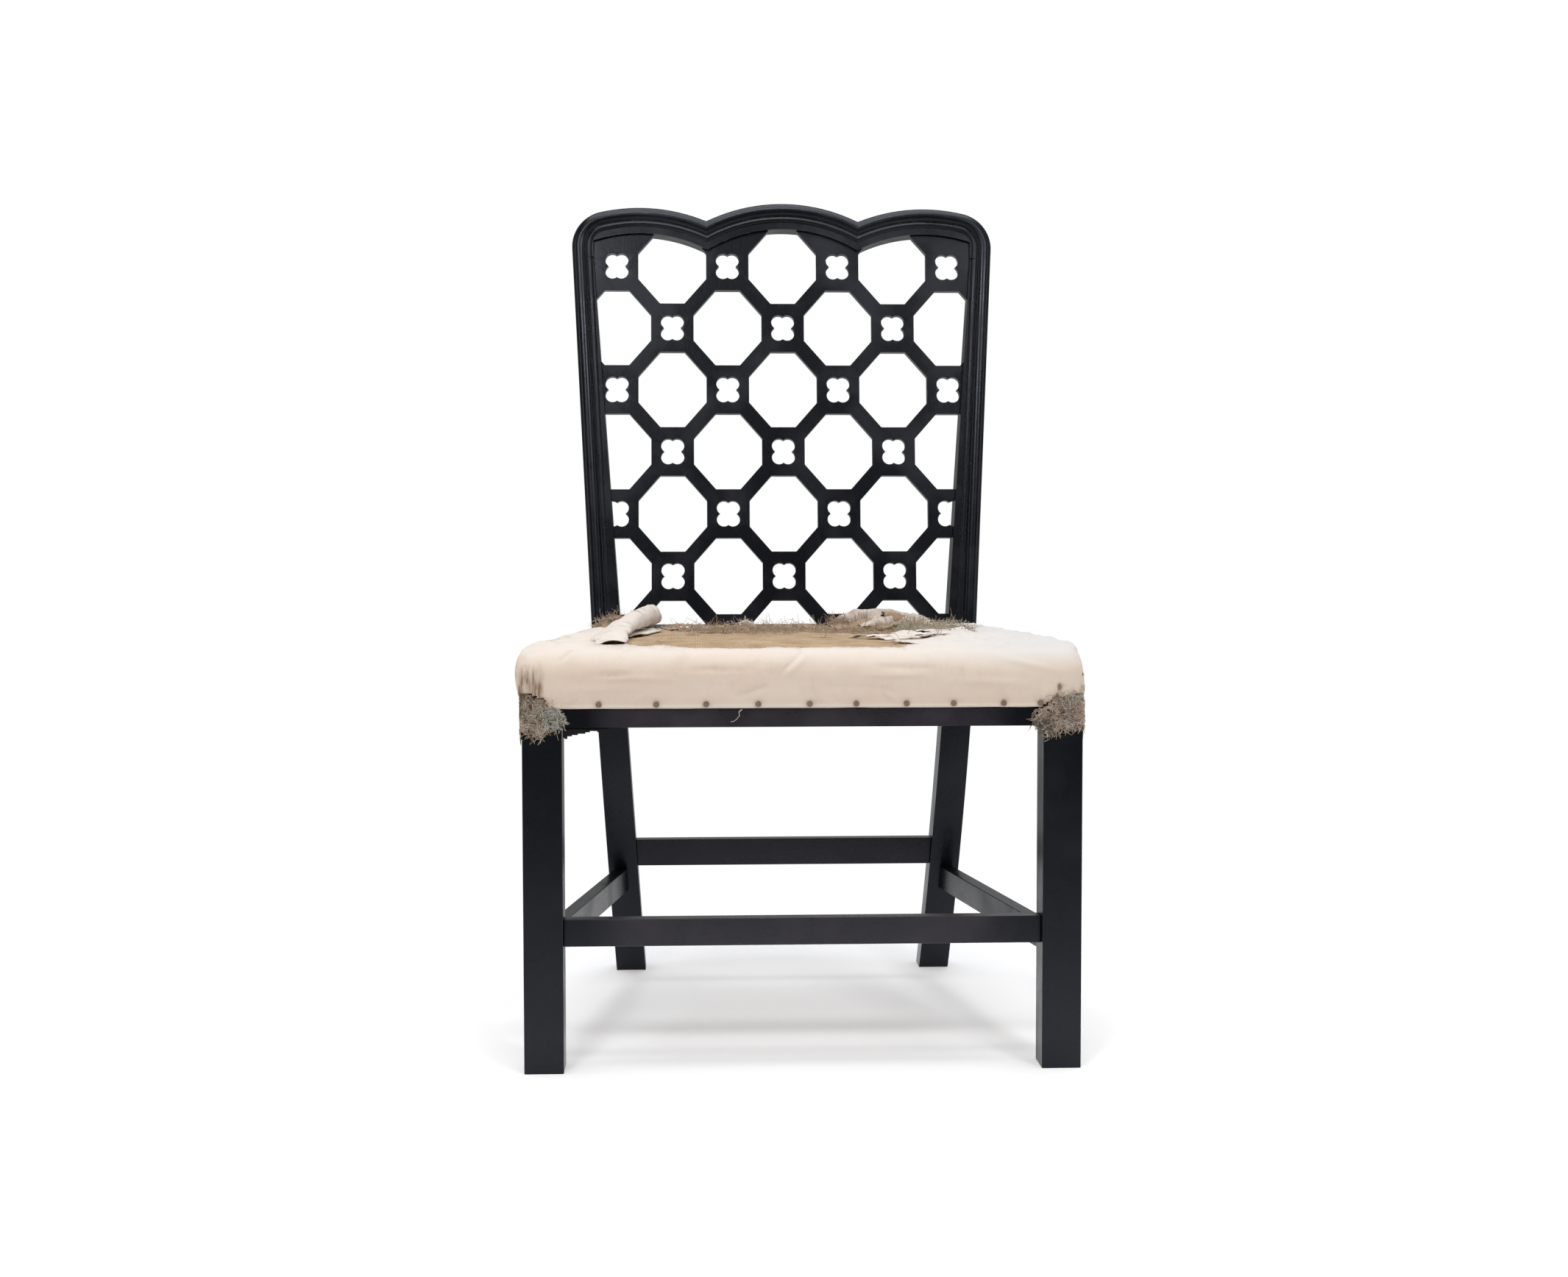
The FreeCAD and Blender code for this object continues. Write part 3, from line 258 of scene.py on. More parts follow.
lacquer_upright = lacquer("lacquer_upright", 2)
lacquer_across = lacquer("lacquer_across", 0)
lacquer_deep = lacquer("lacquer_deep", 1)
lacquer_rubbed = lacquer("lacquer_rubbed", 0, 1.0)
lacquer_dulled = lacquer("lacquer_dulled", 0, 0.6)

# %% [markdown]
# ## Bare wood and iron
# The corner braces were never painted, so they show beech: straight lines of grain, slightly
# bowed by stretched noise. Tacks and screws are iron that has gone brown with rust.

# %% Make the bare wood
WOOD_PALE = (0.42, 0.27, 0.14, 1)
WOOD_DARK = (0.20, 0.11, 0.05, 1)


def bare_wood():
    wood = Finish("bare_wood", {"IOR": 1.45})
    grain_place = wood.place((1.0, 0.35, 6.0))
    grain = wood.noise(22 * MM, grain_place, 6, 0.6)
    rings = (grain * 60.0).wave() * 0.5 + 0.5
    pores = wood.noise(1.2 * MM, wood.place((1.0, 0.2, 3.0)), 3)
    color = wood.blend((rings * 0.55 + pores * 0.3).clamped(), WOOD_PALE, WOOD_DARK)
    return wood.finish(color, 0.55 + 0.2 * pores, rings + pores, 0.2 * MM, 0.4)


# %% Make the rusty iron
IRON_BROWN = (0.20, 0.145, 0.115, 1)
IRON_RED = (0.31, 0.21, 0.16, 1)


def iron():
    metal = Finish("rusty_iron", {"IOR": 1.5, "Metallic": 0.55})
    rust = metal.noise(2.2 * MM, metal.place(), 5, 0.7)
    color = metal.blend(metal.between(rust, 0.4, 0.6), IRON_BROWN, IRON_RED)
    return metal.finish(color, 0.45 + 0.35 * rust, rust, 0.15 * MM, 0.6)


beech = bare_wood()
tack_iron = iron()

# %% [markdown]
# ## Cloths
# Calico, hessian and webbing are all plain weaves: one set of yarns goes over and under the
# other. Two sine waves give the yarns, and the sign of their product says which yarn is on top.
# The waves run over a stored place on the flat cloth, so the weave bends with every fold. A weave
# laid over the chair's own axes would smear on the upright faces.

# %% Weave two sets of yarns
def weave(cloth, pitch, slack):
    """Height of the weave from 0 to 1; slack is how far the yarns wander."""
    across, along = cloth.cloth_place()
    wobble = cloth.noise(pitch * 9, cloth.place(), 2) * slack
    turn_a = across * (math.pi / pitch) + wobble
    turn_b = along * (math.pi / pitch) + wobble
    sine_a, sine_b = turn_a.wave(), turn_b.wave()
    over = (sine_a * sine_b) > 0.0
    return over * sine_a.size() + (1 - over) * sine_b.size()


# %% Make the calico
CALICO = (0.725, 0.595, 0.490, 1)
CALICO_PALE = (0.790, 0.715, 0.635, 1)
CALICO_PINK = (0.690, 0.520, 0.430, 1)
CALICO_STAIN_AND_SHADE = (0.430, 0.320, 0.225, 1)
CALICO_GRIME_AND_SHADE = (0.270, 0.180, 0.120, 1)
CALICO_TOP_LIT = (0.700, 0.645, 0.595, 1)
CALICO_GREY = (0.600, 0.600, 0.605, 1)
TOP_LIT_HEIGHTS = (0.420, 0.440)
GREY_REACH = (0.10, 0.24)
LIT_HEM_HEIGHTS = (0.3825, 0.3850)
CLOTH_SHEEN = {"IOR": 1.4, "Specular IOR Level": 0.2, "Sheen Weight": 0.12, "Sheen Roughness": 0.5}


def calico(name, stain=0.25, pale=0.4):
    """Plain cloth with pale and pink patches, stains, a top painted paler as painted light, a
    painted highlight on the hem, painted shade between the yarns, and stored dirt and crease shade.
    """
    cloth = Finish(name, CLOTH_SHEEN)
    whole = cloth.place()
    broad = cloth.between(cloth.noise(160 * MM, cloth.place((1, 1, 2.5)), 3), 0.38, 0.66)
    mottled = cloth.between(cloth.noise(26 * MM, whole, 5, 0.65), 0.45, 0.75)
    dirt = cloth.between(cloth.noise(34 * MM, whole, 6, 0.7), 0.56, 0.78) * stain
    yarns = weave(cloth, 0.55 * MM, 0.8)
    color = cloth.blend(broad * pale, CALICO, CALICO_PALE)
    color = cloth.blend(mottled * 0.35, color, CALICO_PINK)
    aside, _, height = cloth.parts(whole)
    # Painted light: the top of the seat is painted paler, as if lit from above. Towards the right
    # the top is painted grey.
    on_top = cloth.between(height, *TOP_LIT_HEIGHTS)
    color = cloth.blend(on_top * 0.85, color, CALICO_TOP_LIT)
    color = cloth.blend(on_top * cloth.between(aside, *GREY_REACH) * 0.8, color, CALICO_GREY)
    # Painted highlight: the hem's lower lip is painted paler, as if it caught the light.
    hem = 1 - cloth.between(height, *LIT_HEM_HEIGHTS)
    color = cloth.blend(hem * 0.6, color, CALICO_PALE)
    color = cloth.blend(dirt, color, CALICO_STAIN_AND_SHADE)
    # Painted shade: the cloth between the yarns is painted darker.
    color = cloth.blend((1 - yarns) * 0.10, color, CALICO_STAIN_AND_SHADE)
    # The stored number is dirt, and painted shade along the inward creases.
    dirt_and_shade = cloth.node("Attribute", {"attribute_name": "dirt_and_shade"}, output=2)
    streaks = cloth.between(cloth.noise(2.4 * MM, cloth.place((1, 1, 0.12)), 3), 0.40, 0.62)
    color = cloth.blend((dirt_and_shade * (0.50 + 0.85 * streaks)).clamped(), color, CALICO_GRIME_AND_SHADE)
    slubs = cloth.noise(1.3 * MM, whole, 3)
    return cloth.finish(color, 0.85, yarns + slubs * 0.8, 0.16 * MM, 0.5)


calico_plain = calico("calico")
calico_rag = calico("calico_rag", 0.5, 0.7)
calico_soiled = calico("calico_soiled", 1.3, 0.2)

# %% Make the hessian and the webbing
HESSIAN = (0.400, 0.240, 0.115, 1)
HESSIAN_PALE = (0.720, 0.540, 0.350, 1)
HESSIAN_DARK = (0.110, 0.060, 0.030, 1)
HESSIAN_PITCH = 1.7 * MM
WEB_PITCH = 1.3 * MM


def jute(name, pitch, gap, dark, pale):
    """A coarse weave of yarns of two tones, with the holes between them painted dark as painted
    shade.
    """
    cloth = Finish(name, CLOTH_SHEEN)
    whole = cloth.place()
    yarns = weave(cloth, pitch, 1.6)
    holes = cloth.between(yarns, gap, gap + 0.25)
    tone = cloth.between(cloth.noise(30 * MM, whole, 6, 0.75), 0.30, 0.68)
    fuzz = cloth.noise(0.8 * MM, whole, 3)
    color = cloth.blend(tone, dark, pale)
    # Painted shade: the holes between the yarns are painted dark.
    color = cloth.blend((1 - holes) * 0.75, color, HESSIAN_DARK)
    color = cloth.blend(fuzz * 0.25, color, HESSIAN_DARK)
    return cloth.finish(color, 0.9, yarns + fuzz * 0.6, 0.5 * MM, 0.9)


hessian = jute("hessian", HESSIAN_PITCH, 0.30, HESSIAN, HESSIAN_PALE)
hessian_brown = jute("hessian_brown", HESSIAN_PITCH, 0.35,
                     (0.43, 0.305, 0.205, 1), (0.62, 0.475, 0.345, 1))
hessian_grey = jute("hessian_grey", HESSIAN_PITCH, 0.30,
                    (0.40, 0.30, 0.21, 1), (0.62, 0.53, 0.42, 1))
web_jute = jute("web_jute", WEB_PITCH, 0.10, (0.36, 0.26, 0.15, 1), (0.47, 0.36, 0.22, 1))


# %% Make the fibre, the threads and the black cloth
FIBRE_SHADE = (0.06, 0.045, 0.03, 1)
BLACK_SHADE = (0.004, 0.004, 0.005, 1)


def fluff(name, first, second, depth=0.6, patch=12 * MM, edge=0.15, shade=FIBRE_SHADE):
    """Strands of two colours in patches; edge is how gently one patch passes into the next."""
    hair = Finish(name, CLOTH_SHEEN)
    whole = hair.place()
    strands = hair.noise(1.1 * MM, hair.place((1.0, 0.25, 1.0)), 5, 0.75)
    tone = hair.between(hair.noise(patch, whole, 4, 0.6), 0.5 - edge, 0.5 + edge)
    color = hair.blend(tone, first, second)
    color = hair.blend(strands * 0.45, color, shade)
    return hair.finish(color, 0.88, strands, depth * MM, 0.9)


fibre = fluff("grey_fibre", (0.42, 0.37, 0.27, 1), (0.58, 0.53, 0.42, 1))
fibre_brown = fluff("brown_fibre", (0.43, 0.305, 0.21, 1), (0.63, 0.49, 0.37, 1))
fibre_dark = fluff("dark_fibre", (0.12, 0.08, 0.05, 1), (0.24, 0.17, 0.11, 1))
thread_pale = fluff("pale_thread", (0.62, 0.55, 0.46, 1), (0.74, 0.68, 0.60, 1), 0.1)
thread_tan = fluff("tan_thread", (0.42, 0.29, 0.17, 1), (0.56, 0.41, 0.26, 1), 0.1)
tuft_fibre = fluff("tuft_fibre", (0.23, 0.18, 0.12, 1), (0.74, 0.65, 0.53, 1),
                   patch=7 * MM, edge=0.08)
tuft_pale = fluff("pale_tuft_fibre", (0.38, 0.30, 0.23, 1), (0.80, 0.70, 0.60, 1),
                  patch=7 * MM, edge=0.08)
fluff_green = fluff("green_fluff", (0.46, 0.47, 0.40, 1), (0.70, 0.71, 0.64, 1), patch=5 * MM)
fluff_pink = fluff("pink_fluff", (0.50, 0.38, 0.33, 1), (0.74, 0.60, 0.54, 1), patch=5 * MM)
fluff_olive = fluff("olive_fluff", (0.17, 0.16, 0.12, 1), (0.36, 0.33, 0.27, 1), patch=5 * MM)
black_cloth = fluff("black_cloth", (0.010, 0.010, 0.011, 1), (0.018, 0.018, 0.019, 1), 0.2,
                    shade=BLACK_SHADE)

# %% [markdown]
# ## The wooden frame
# The frame's solids come with knife-sharp edges, and real wood never has them. A bevel under a
# millimetre wide catches a thin line of light along every arris. The solids arrive with a
# separate copy of each corner for each face, so they are welded first: a bevel on unwelded
# faces would find no edge to round. Last, the shading is weighted by the size of the faces. A
# bevel's own shading would tilt the long faces of a post near its ends.

# %% Round the arrises and paint the wood
WOOD_FINISH = [
    (lacquer_upright, ["front_leg_right", "front_leg_left", "back_post_right", "back_post_left",
                       "lattice_panel"]),
    (lacquer_across, ["crest_rail", "lattice_shoe", "seat_rail_rear"]),
    (lacquer_deep, ["seat_rail_right", "seat_rail_left", "stretcher_right", "stretcher_left"]),
    (lacquer_rubbed, ["seat_rail_front", "stretcher_front"]),
    (lacquer_dulled, ["stretcher_rear"]),
    (beech, ["corner_brace_front_right", "corner_brace_front_left", "corner_brace_rear_right",
             "corner_brace_rear_left"]),
]
IRON_NODES = ["corner_brace_screws", "webbing_tacks", "cover_tacks_front",
              "cover_tacks_right", "cover_tacks_left"]
ARRIS, FINE_ARRIS = 0.9 * MM, 0.5 * MM


def paint_node(name, material, arris=0.0):
    """Paint a solid of the frame, and round its edges if arris has a width."""
    piece = nodes[name]
    piece.data.materials.clear()
    piece.data.materials.append(material)
    if arris:
        weld = piece.modifiers.new("weld", "WELD")
        weld.merge_threshold = 0.01 * MM
        rounded = piece.modifiers.new("arris", "BEVEL")
        rounded.width = arris
        rounded.segments = 2
        rounded.limit_method = "ANGLE"
        rounded.angle_limit = math.radians(40)
        even = piece.modifiers.new("even_shading", "WEIGHTED_NORMAL")
        even.mode = "FACE_AREA"
        even.keep_sharp = False


for material, names in WOOD_FINISH:
    for name in names:
        paint_node(name, material, FINE_ARRIS if name == "lattice_panel" else ARRIS)
for name in IRON_NODES:
    paint_node(name, tack_iron)
print("painted the wood in", len(WOOD_FINISH), "finishes, and", len(IRON_NODES), "groups of iron")

# %% [markdown]
# ## The floor, the backdrop and the light
# The photograph has a white floor that fades into white. Raising the lamps until the floor burns
# out would bleach the calico as well, so the floor is plain pale paint with a share of its own
# light that only the camera and mirror-like surfaces see. Shadows stay soft and grey on it.

# %% Lay the floor
FLOOR_GLOW = 0.30
FLOOR_CLEAR = (0.50, 1.30)
FLOOR_DARK = (-2.1, -0.55)
FLOOR_DIM = (0.2, 1.1)
FLOOR_HALF = 12.0
WHITE = (1, 1, 1, 1)


def floor_paint():
    """Pale paint near the chair that passes into white, and is dimmer in the lacquer's mirror."""
    paint = Finish("white_floor", {"Roughness": 0.9, "Specular IOR Level": 0.0})
    rays = paint.tree.nodes.new("ShaderNodeLightPath")
    seen = Value(paint.tree, rays.outputs["Is Camera Ray"])
    mirrored = Value(paint.tree, rays.outputs["Is Glossy Ray"])
    through = Value(paint.tree, rays.outputs["Is Transmission Ray"])
    _, deep, _ = paint.parts(paint.place())
    near_chair = paint.between(deep, *FLOOR_DARK) * 0.85 + 0.15
    near_chair = near_chair * (1 - 0.45 * paint.between(deep, *FLOOR_DIM))
    shown = (seen + mirrored * near_chair + through).clamped()
    plain = paint.node("BsdfDiffuse", inputs={"Color": (0.80, 0.80, 0.80, 1)})
    dark = paint.node("BsdfDiffuse", inputs={"Color": (0.10, 0.10, 0.11, 1)})
    lit_by_bounce = paint.node("MixShader", inputs={0: mirrored, 1: plain, 2: dark})
    dimmed = paint.node("BsdfDiffuse", inputs={"Color": (0.80, 0.80, 0.815, 1)})
    glow = paint.node("Emission", inputs={"Color": WHITE, "Strength": FLOOR_GLOW})
    lit = paint.node("AddShader", inputs={0: dimmed, 1: glow})
    white = paint.node("Emission", inputs={"Color": WHITE, "Strength": 1.0})
    whole = paint.node("TexCoord", output=3)
    away = paint.node("VectorMath", {"operation": "LENGTH"}, {0: whole}, output=1)
    limits = {"Value": away, "From Min": FLOOR_CLEAR[0], "From Max": FLOOR_CLEAR[1]}
    clear = paint.node("MapRange", {"interpolation_type": "SMOOTHSTEP"}, limits)
    seen_floor = paint.node("MixShader", inputs={0: clear, 1: lit, 2: white})
    mixed = paint.node("MixShader", inputs={0: shown, 1: lit_by_bounce, 2: seen_floor})
    outlet = paint.tree.nodes["Material Output"]
    connect(paint.tree, outlet.inputs["Surface"], mixed)
    return paint.material


floor_mesh = bpy.data.meshes.new("floor")
square = ((-1, -1), (1, -1), (1, 1), (-1, 1))
floor_corners = [(FLOOR_HALF * x, FLOOR_HALF * y, 0) for x, y in square]
floor_mesh.from_pydata(floor_corners, [], [(0, 1, 2, 3)])
floor_mesh.materials.append(floor_paint())
floor = placed("floor", floor_mesh)


# %% Make the white room
def white_room():
    """White to the camera, and a soft light that is stronger behind the chair."""
    world = bpy.data.worlds.new("white_room")
    world.use_nodes = True
    bpy.context.scene.world = world
    tree = world.node_tree
    background = tree.nodes["Background"]
    rays = tree.nodes.new("ShaderNodeLightPath")
    seen = Value(tree, rays.outputs["Is Camera Ray"])
    through = Value(tree, rays.outputs["Is Transmission Ray"])
    place = tree.nodes.new("ShaderNodeTexCoord")
    parts = tree.nodes.new("ShaderNodeSeparateXYZ")
    tree.links.new(place.outputs["Generated"], parts.inputs["Vector"])
    ahead = Value(tree, parts.outputs["Y"])
    mirrored = Value(tree, rays.outputs["Is Glossy Ray"])
    behind_chair = (ahead * 1.6 + 0.35).clamped()
    soft = (0.13 + behind_chair * 0.50) * (1 - mirrored) + mirrored * (0.06 + behind_chair * 0.22)
    shown = (seen + through).clamped()
    connect(tree, background.inputs["Color"], WHITE)
    connect(tree, background.inputs["Strength"], soft * (1 - shown) + shown)


white_room()


# %% Hang the lamps
def soft_lamp(name, place, target, width, height, power, color):
    data = bpy.data.lights.new(name, "AREA")
    data.shape = "RECTANGLE"
    data.size = width
    data.size_y = height
    data.energy = power
    data.color = color
    lamp = placed(name, data)
    lamp.location = place
    lamp.rotation_euler = (Vector(target) - Vector(place)).to_track_quat("-Z", "Y").to_euler()


COOL, NEUTRAL, WARM = (0.96, 0.98, 1.0), (1.0, 0.99, 0.98), (1.0, 0.97, 0.94)
# Name, place, height of the target on the chair's middle line, width, height, watts, colour
LAMPS = [
    ("overhead_box", (0.0, -0.15, 2.5), 0.2, 2.2, 1.8, 38, COOL),
    ("key_box", (-0.1, -1.4, 2.5), 0.2, 0.85, 0.32, 10, WARM),
    ("front_left_box", (-0.88, -2.45, 1.95), 0.4, 0.42, 0.42, 18, NEUTRAL),
    ("front_right_box", (1.25, -2.45, 1.95), 0.4, 0.42, 0.42, 18, NEUTRAL),
    ("left_strip", (-2.1, -0.5, 1.1), 0.6, 0.35, 1.8, 6, WARM),
    ("right_strip", (2.1, -0.5, 1.1), 0.6, 0.35, 1.8, 5, WARM),
    ("rear_box", (0.4, 2.4, 1.8), 0.5, 1.6, 1.2, 11, COOL),
]
for name, place, target_z, width, height, power, color in LAMPS:
    soft_lamp(name, place, (0, 0, target_z), width, height, power, color)
print("hung", len(LAMPS), "lamps")

# %% [markdown]
# ## Sizes of the seat
# Every soft piece follows one form: the outline of the legs and rails in plan, and a section that
# climbs from the hem, rolls over the edge and rises to a low crown. The sizes come from the frame
# where it holds them, so the cloth stays on the rails if the chair changes.

# %% Measure the seat on the frame
leg_low, leg_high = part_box("front_leg_right")
rail_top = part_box("seat_rail_front")[1].z
cover_low, cover_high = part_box("calico_cover")
front_y = leg_low.y
leg_out = leg_high.x
leg_square = leg_high.x - leg_low.x
hem_z = cover_low.z
seat_top = cover_high.z
post_front_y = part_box("seat_rail_rear")[0].y
seat_rear_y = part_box("lattice_shoe")[0].y - 0.3 * MM
bulge = 4.8 * MM
edge_rise = 23 * MM
edge_roll = 22 * MM
crown_rise = seat_top - rail_top - edge_rise
crown_start, crown_full = 38 * MM, 106 * MM
post_front = [v.co for v in nodes["back_post_right"].data.vertices
              if abs(v.co.y - post_front_y) < 0.2 * MM and v.co.z > rail_top - MM]
post_out_at_rail = max(place.x for place in post_front)
post_inner_at_rail = min(place.x for place in post_front)
taper = (leg_out - post_out_at_rail) / (post_front_y - front_y - leg_square)
print("seat depth", round(seat_rear_y - front_y, 4), "post", post_inner_at_rail, post_out_at_rail)


def side_x(y, out=0.0):
    return leg_out + out - taper * max(0.0, y - front_y - leg_square)


# %% Draw the seat's section and rings
def section_points():
    """Reach beyond the rails and height, from the hem over the edge to the flat of the crown."""
    skirt = rail_top - hem_z
    edge_top = rail_top + edge_rise
    points = [(0.375 * bulge, hem_z), (0.75 * bulge, hem_z + skirt / 3), (bulge, rail_top)]
    for step in range(1, 10):
        angle = math.radians(10 * step)
        rolled_in = edge_roll * (1 - math.cos(angle))
        points.append((bulge - rolled_in, rail_top + edge_rise * math.sin(angle)))
    points.append((-crown_start, edge_top + crown_rise / 2))
    points.append((-crown_full, edge_top + crown_rise))
    points.append((-2 * crown_full, edge_top + crown_rise))
    return points


def resampled(points, step):
    """The same line with points a given step apart."""
    line = np.array(points)
    gaps = np.linalg.norm(np.diff(line, axis=0), axis=1)
    along = np.concatenate([[0], np.cumsum(gaps)])
    places = np.arange(0, along[-1], step)
    return np.stack([np.interp(places, along, line[:, n]) for n in range(line.shape[1])], axis=1)


# Points of a ring along the front, round a corner, along a side and along the rear
RING_COUNTS = (230, 12, 150, 120)
SIDE_ROLL_SHARE = 0.36
SIDE_BULGE_SHARE = 0.75
SIDE_RETURN = 60 * MM
TIGHT_CORNER = 0.9 * MM


def side_out(out, z):
    """The sides roll over more tightly than the front, and meet its rows again on the crown."""
    if z <= rail_top:
        return out * SIDE_BULGE_SHARE
    tight = SIDE_BULGE_SHARE * bulge - (bulge - out) * SIDE_ROLL_SHARE
    back_to_row = min(1.0, max(0.0, (-out - edge_roll) / SIDE_RETURN))
    return tight + (out - tight) * back_to_row


def corner_radius(out, z):
    """The corner hugs the leg below the rail's top, and is well rounded above it."""
    if z <= rail_top:
        return TIGHT_CORNER + 3.2 * max(0.0, out - TIGHT_CORNER)
    return min(15 * MM, 13.4 * MM + 0.25 * (bulge - out))


def ring(out, z):
    """Closed outline of the seat in plan, from the rear left corner forward and round."""
    front_count, turn_count, side_count, rear_count = RING_COUNTS
    corner = corner_radius(out, z)
    aside = side_out(out, z)
    y0 = front_y - out
    post_y = post_front_y - 0.4 * MM
    kink_y = max(front_y + leg_square, y0 + corner + MM)
    corner_x = side_x(kink_y, aside)
    right = []
    for n in range(turn_count):
        angle = math.pi / 2 * (n + 0.5) / turn_count
        right.append((corner_x - corner + corner * math.sin(angle),
                      y0 + corner - corner * math.cos(angle)))
    end_y = min(post_y, seat_rear_y + out)
    for y in np.linspace(y0 + corner, end_y, side_count):
        right.append((side_x(max(y, kink_y), aside), y))
    half_front = corner_x - corner
    front = [(x, y0) for x in np.linspace(-half_front, half_front, front_count)]
    left = [(-x, y) for x, y in reversed(right)]
    rear = []
    for x in np.linspace(right[-1][0], -right[-1][0], rear_count + 2)[1:-1]:
        beside_post = abs(x) > post_inner_at_rail - 1.5 * MM
        rear.append((x, min(seat_rear_y + min(out, 0.0), post_y if beside_post else seat_rear_y)))
    return left + front + right + rear


# %% [markdown]
# ## Helpers for soft pieces
# Cloth is built as a grid of points, bent into place, and stored with its flat coordinates for
# the weave. Smooth noise gives lumps, and folded noise, which is one minus its own size, gives
# the sharp ridges of crumpled cloth.

# %% Build a piece from points
def soft_piece(name, points, faces, material, flat=None, thickness=0.0, levels=0,
               dirt_and_shade=None):
    """A sheet or a closed body with its place on the flat cloth and its dirt and painted shade
    stored per point.
    """
    mesh = bpy.data.meshes.new(name)
    mesh.from_pydata(np.asarray(points).tolist(), [], np.asarray(faces).tolist())
    mesh.materials.append(material)
    mesh.polygons.foreach_set("use_smooth", [True] * len(mesh.polygons))
    if flat is not None:
        stored = mesh.attributes.new("cloth", "FLOAT_VECTOR", "POINT")
        padded = np.zeros((len(points), 3), np.float32)
        padded[:, :2] = flat
        stored.data.foreach_set("vector", padded.ravel())
    if dirt_and_shade is not None:
        marked = mesh.attributes.new("dirt_and_shade", "FLOAT", "POINT")
        marked.data.foreach_set("value", np.clip(dirt_and_shade, 0, 1).astype(np.float32))
    mesh.update()
    piece = placed(name, mesh)
    if levels:
        smooth = piece.modifiers.new("smooth", "SUBSURF")
        smooth.levels = levels
        smooth.render_levels = levels
    if thickness:
        shell = piece.modifiers.new("thickness", "SOLIDIFY")
        shell.thickness = thickness
        shell.offset = 0.0
    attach(piece, "root")
    print("made", name, "with", len(mesh.polygons), "faces")
    return piece


def on_plane(flat, depth=0.0):
    """Flat places with a third number, so that noise can be read there."""
    return np.column_stack([flat, np.full(len(flat), depth)])


def grid_faces(rows, columns, closed=False):
    """Squares of a grid of points; closed joins the last row to the first."""
    index = np.arange(rows * columns).reshape(rows, columns)
    if closed:
        index = np.vstack([index, index[:1]])
    squares = (index[:-1, :-1], index[1:, :-1], index[1:, 1:], index[:-1, 1:])
    return np.stack([square.ravel() for square in squares], axis=1)


def lumps(points, size, seed=0.0):
    """Smooth noise from about -1 to 1 at each point."""
    shift = np.array([seed * 7.31, seed * 3.17, seed * 5.03])
    return np.array([noise.noise(p) for p in (np.asarray(points) / size + shift).tolist()])


def crumples(points, size, seed=0.0, layers=3):
    """Ridged noise: 1 on a crease and about 0 in the middle of a facet."""
    total, weight = 0.0, 0.0
    for layer in range(layers):
        share = 0.5 ** layer
        total = total + share * (1 - np.abs(lumps(points, size * share, seed + layer)) * 2.2)
        weight += share
    return total / weight


def climb(value, low, high):
    """0 below low, 1 above high, and a smooth climb between."""
    share = np.clip((value - low) / (high - low), 0, 1)
    return share * share * (3 - 2 * share)


def normals_of(points, faces):
    corners = [points[faces[:, n]] for n in range(4)]
    face_normals = np.cross(corners[2] - corners[0], corners[3] - corners[1])
    out = np.zeros_like(points)
    for n in range(4):
        np.add.at(out, faces[:, n], face_normals)
    return out / np.maximum(np.linalg.norm(out, axis=1, keepdims=True), 1e-12)


def compacted(points, faces, *extras):
    """The points that faces use, with the faces renumbered, and the same rows of each extra."""
    used = np.unique(faces)
    lookup = np.full(len(points), -1)
    lookup[used] = np.arange(len(used))
    return points[used], lookup[faces], [extra[used] for extra in extras]


# %% Build a bundle of threads
def threads(name, strands, thickness, material):
    """One mesh of thin tapering strands; each strand is a list of points."""
    curve = bpy.data.curves.new(name, "CURVE")
    curve.dimensions = "3D"
    curve.bevel_depth = thickness / 2
    curve.bevel_resolution = 0
    curve.use_fill_caps = True
    for strand in strands:
        spline = curve.splines.new("POLY")
        spline.points.add(len(strand) - 1)
        for n, (point, place) in enumerate(zip(spline.points, strand)):
            point.co = (*place, 1)
            point.radius = 1 - 0.6 * n / len(strand)
    drawn = placed(name + "_line", curve)
    bpy.context.view_layer.update()
    solid = drawn.evaluated_get(bpy.context.evaluated_depsgraph_get())
    mesh = bpy.data.meshes.new_from_object(solid)
    bpy.data.objects.remove(drawn)
    mesh.name = name
    mesh.materials.clear()
    mesh.materials.append(material)
    mesh.polygons.foreach_set("use_smooth", [True] * len(mesh.polygons))
    piece = placed(name, mesh)
    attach(piece, "root")
    print("made", name, "of", len(strands), "strands")
    return piece


def any_way(dice, spread=1):
    """A random step in space."""
    return Vector((dice.gauss(0, spread), dice.gauss(0, spread), dice.gauss(0, spread)))


def curl(dice, start, direction, length, steps, wander, fall=0.0, floor_z=None):
    """A strand that sets off in a direction, wanders, and stays above a floor."""
    points = [Vector(start)]
    heading = Vector(direction).normalized()
    drift = any_way(dice) * wander
    for _ in range(steps):
        stray = any_way(dice) * wander
        heading = (heading + stray * 0.6 + drift * 0.6 + Vector((0, 0, -fall))).normalized()
        ahead = points[-1] + heading * (length / steps)
        if floor_z is not None and ahead.z < floor_z:
            ahead.z = floor_z
            heading.z = abs(heading.z) * 0.4
        points.append(ahead)
    return points


# %% [markdown]
# ## The tear
# The tear's outline is a short list of points in plan. Cloth tears along its threads in steps and
# hooks, so the true edge is the outline's distance plus noise at two sizes. Working with a signed
# distance has a second use: the same number says how far a point of cloth is from the edge, and
# so how much it curls.

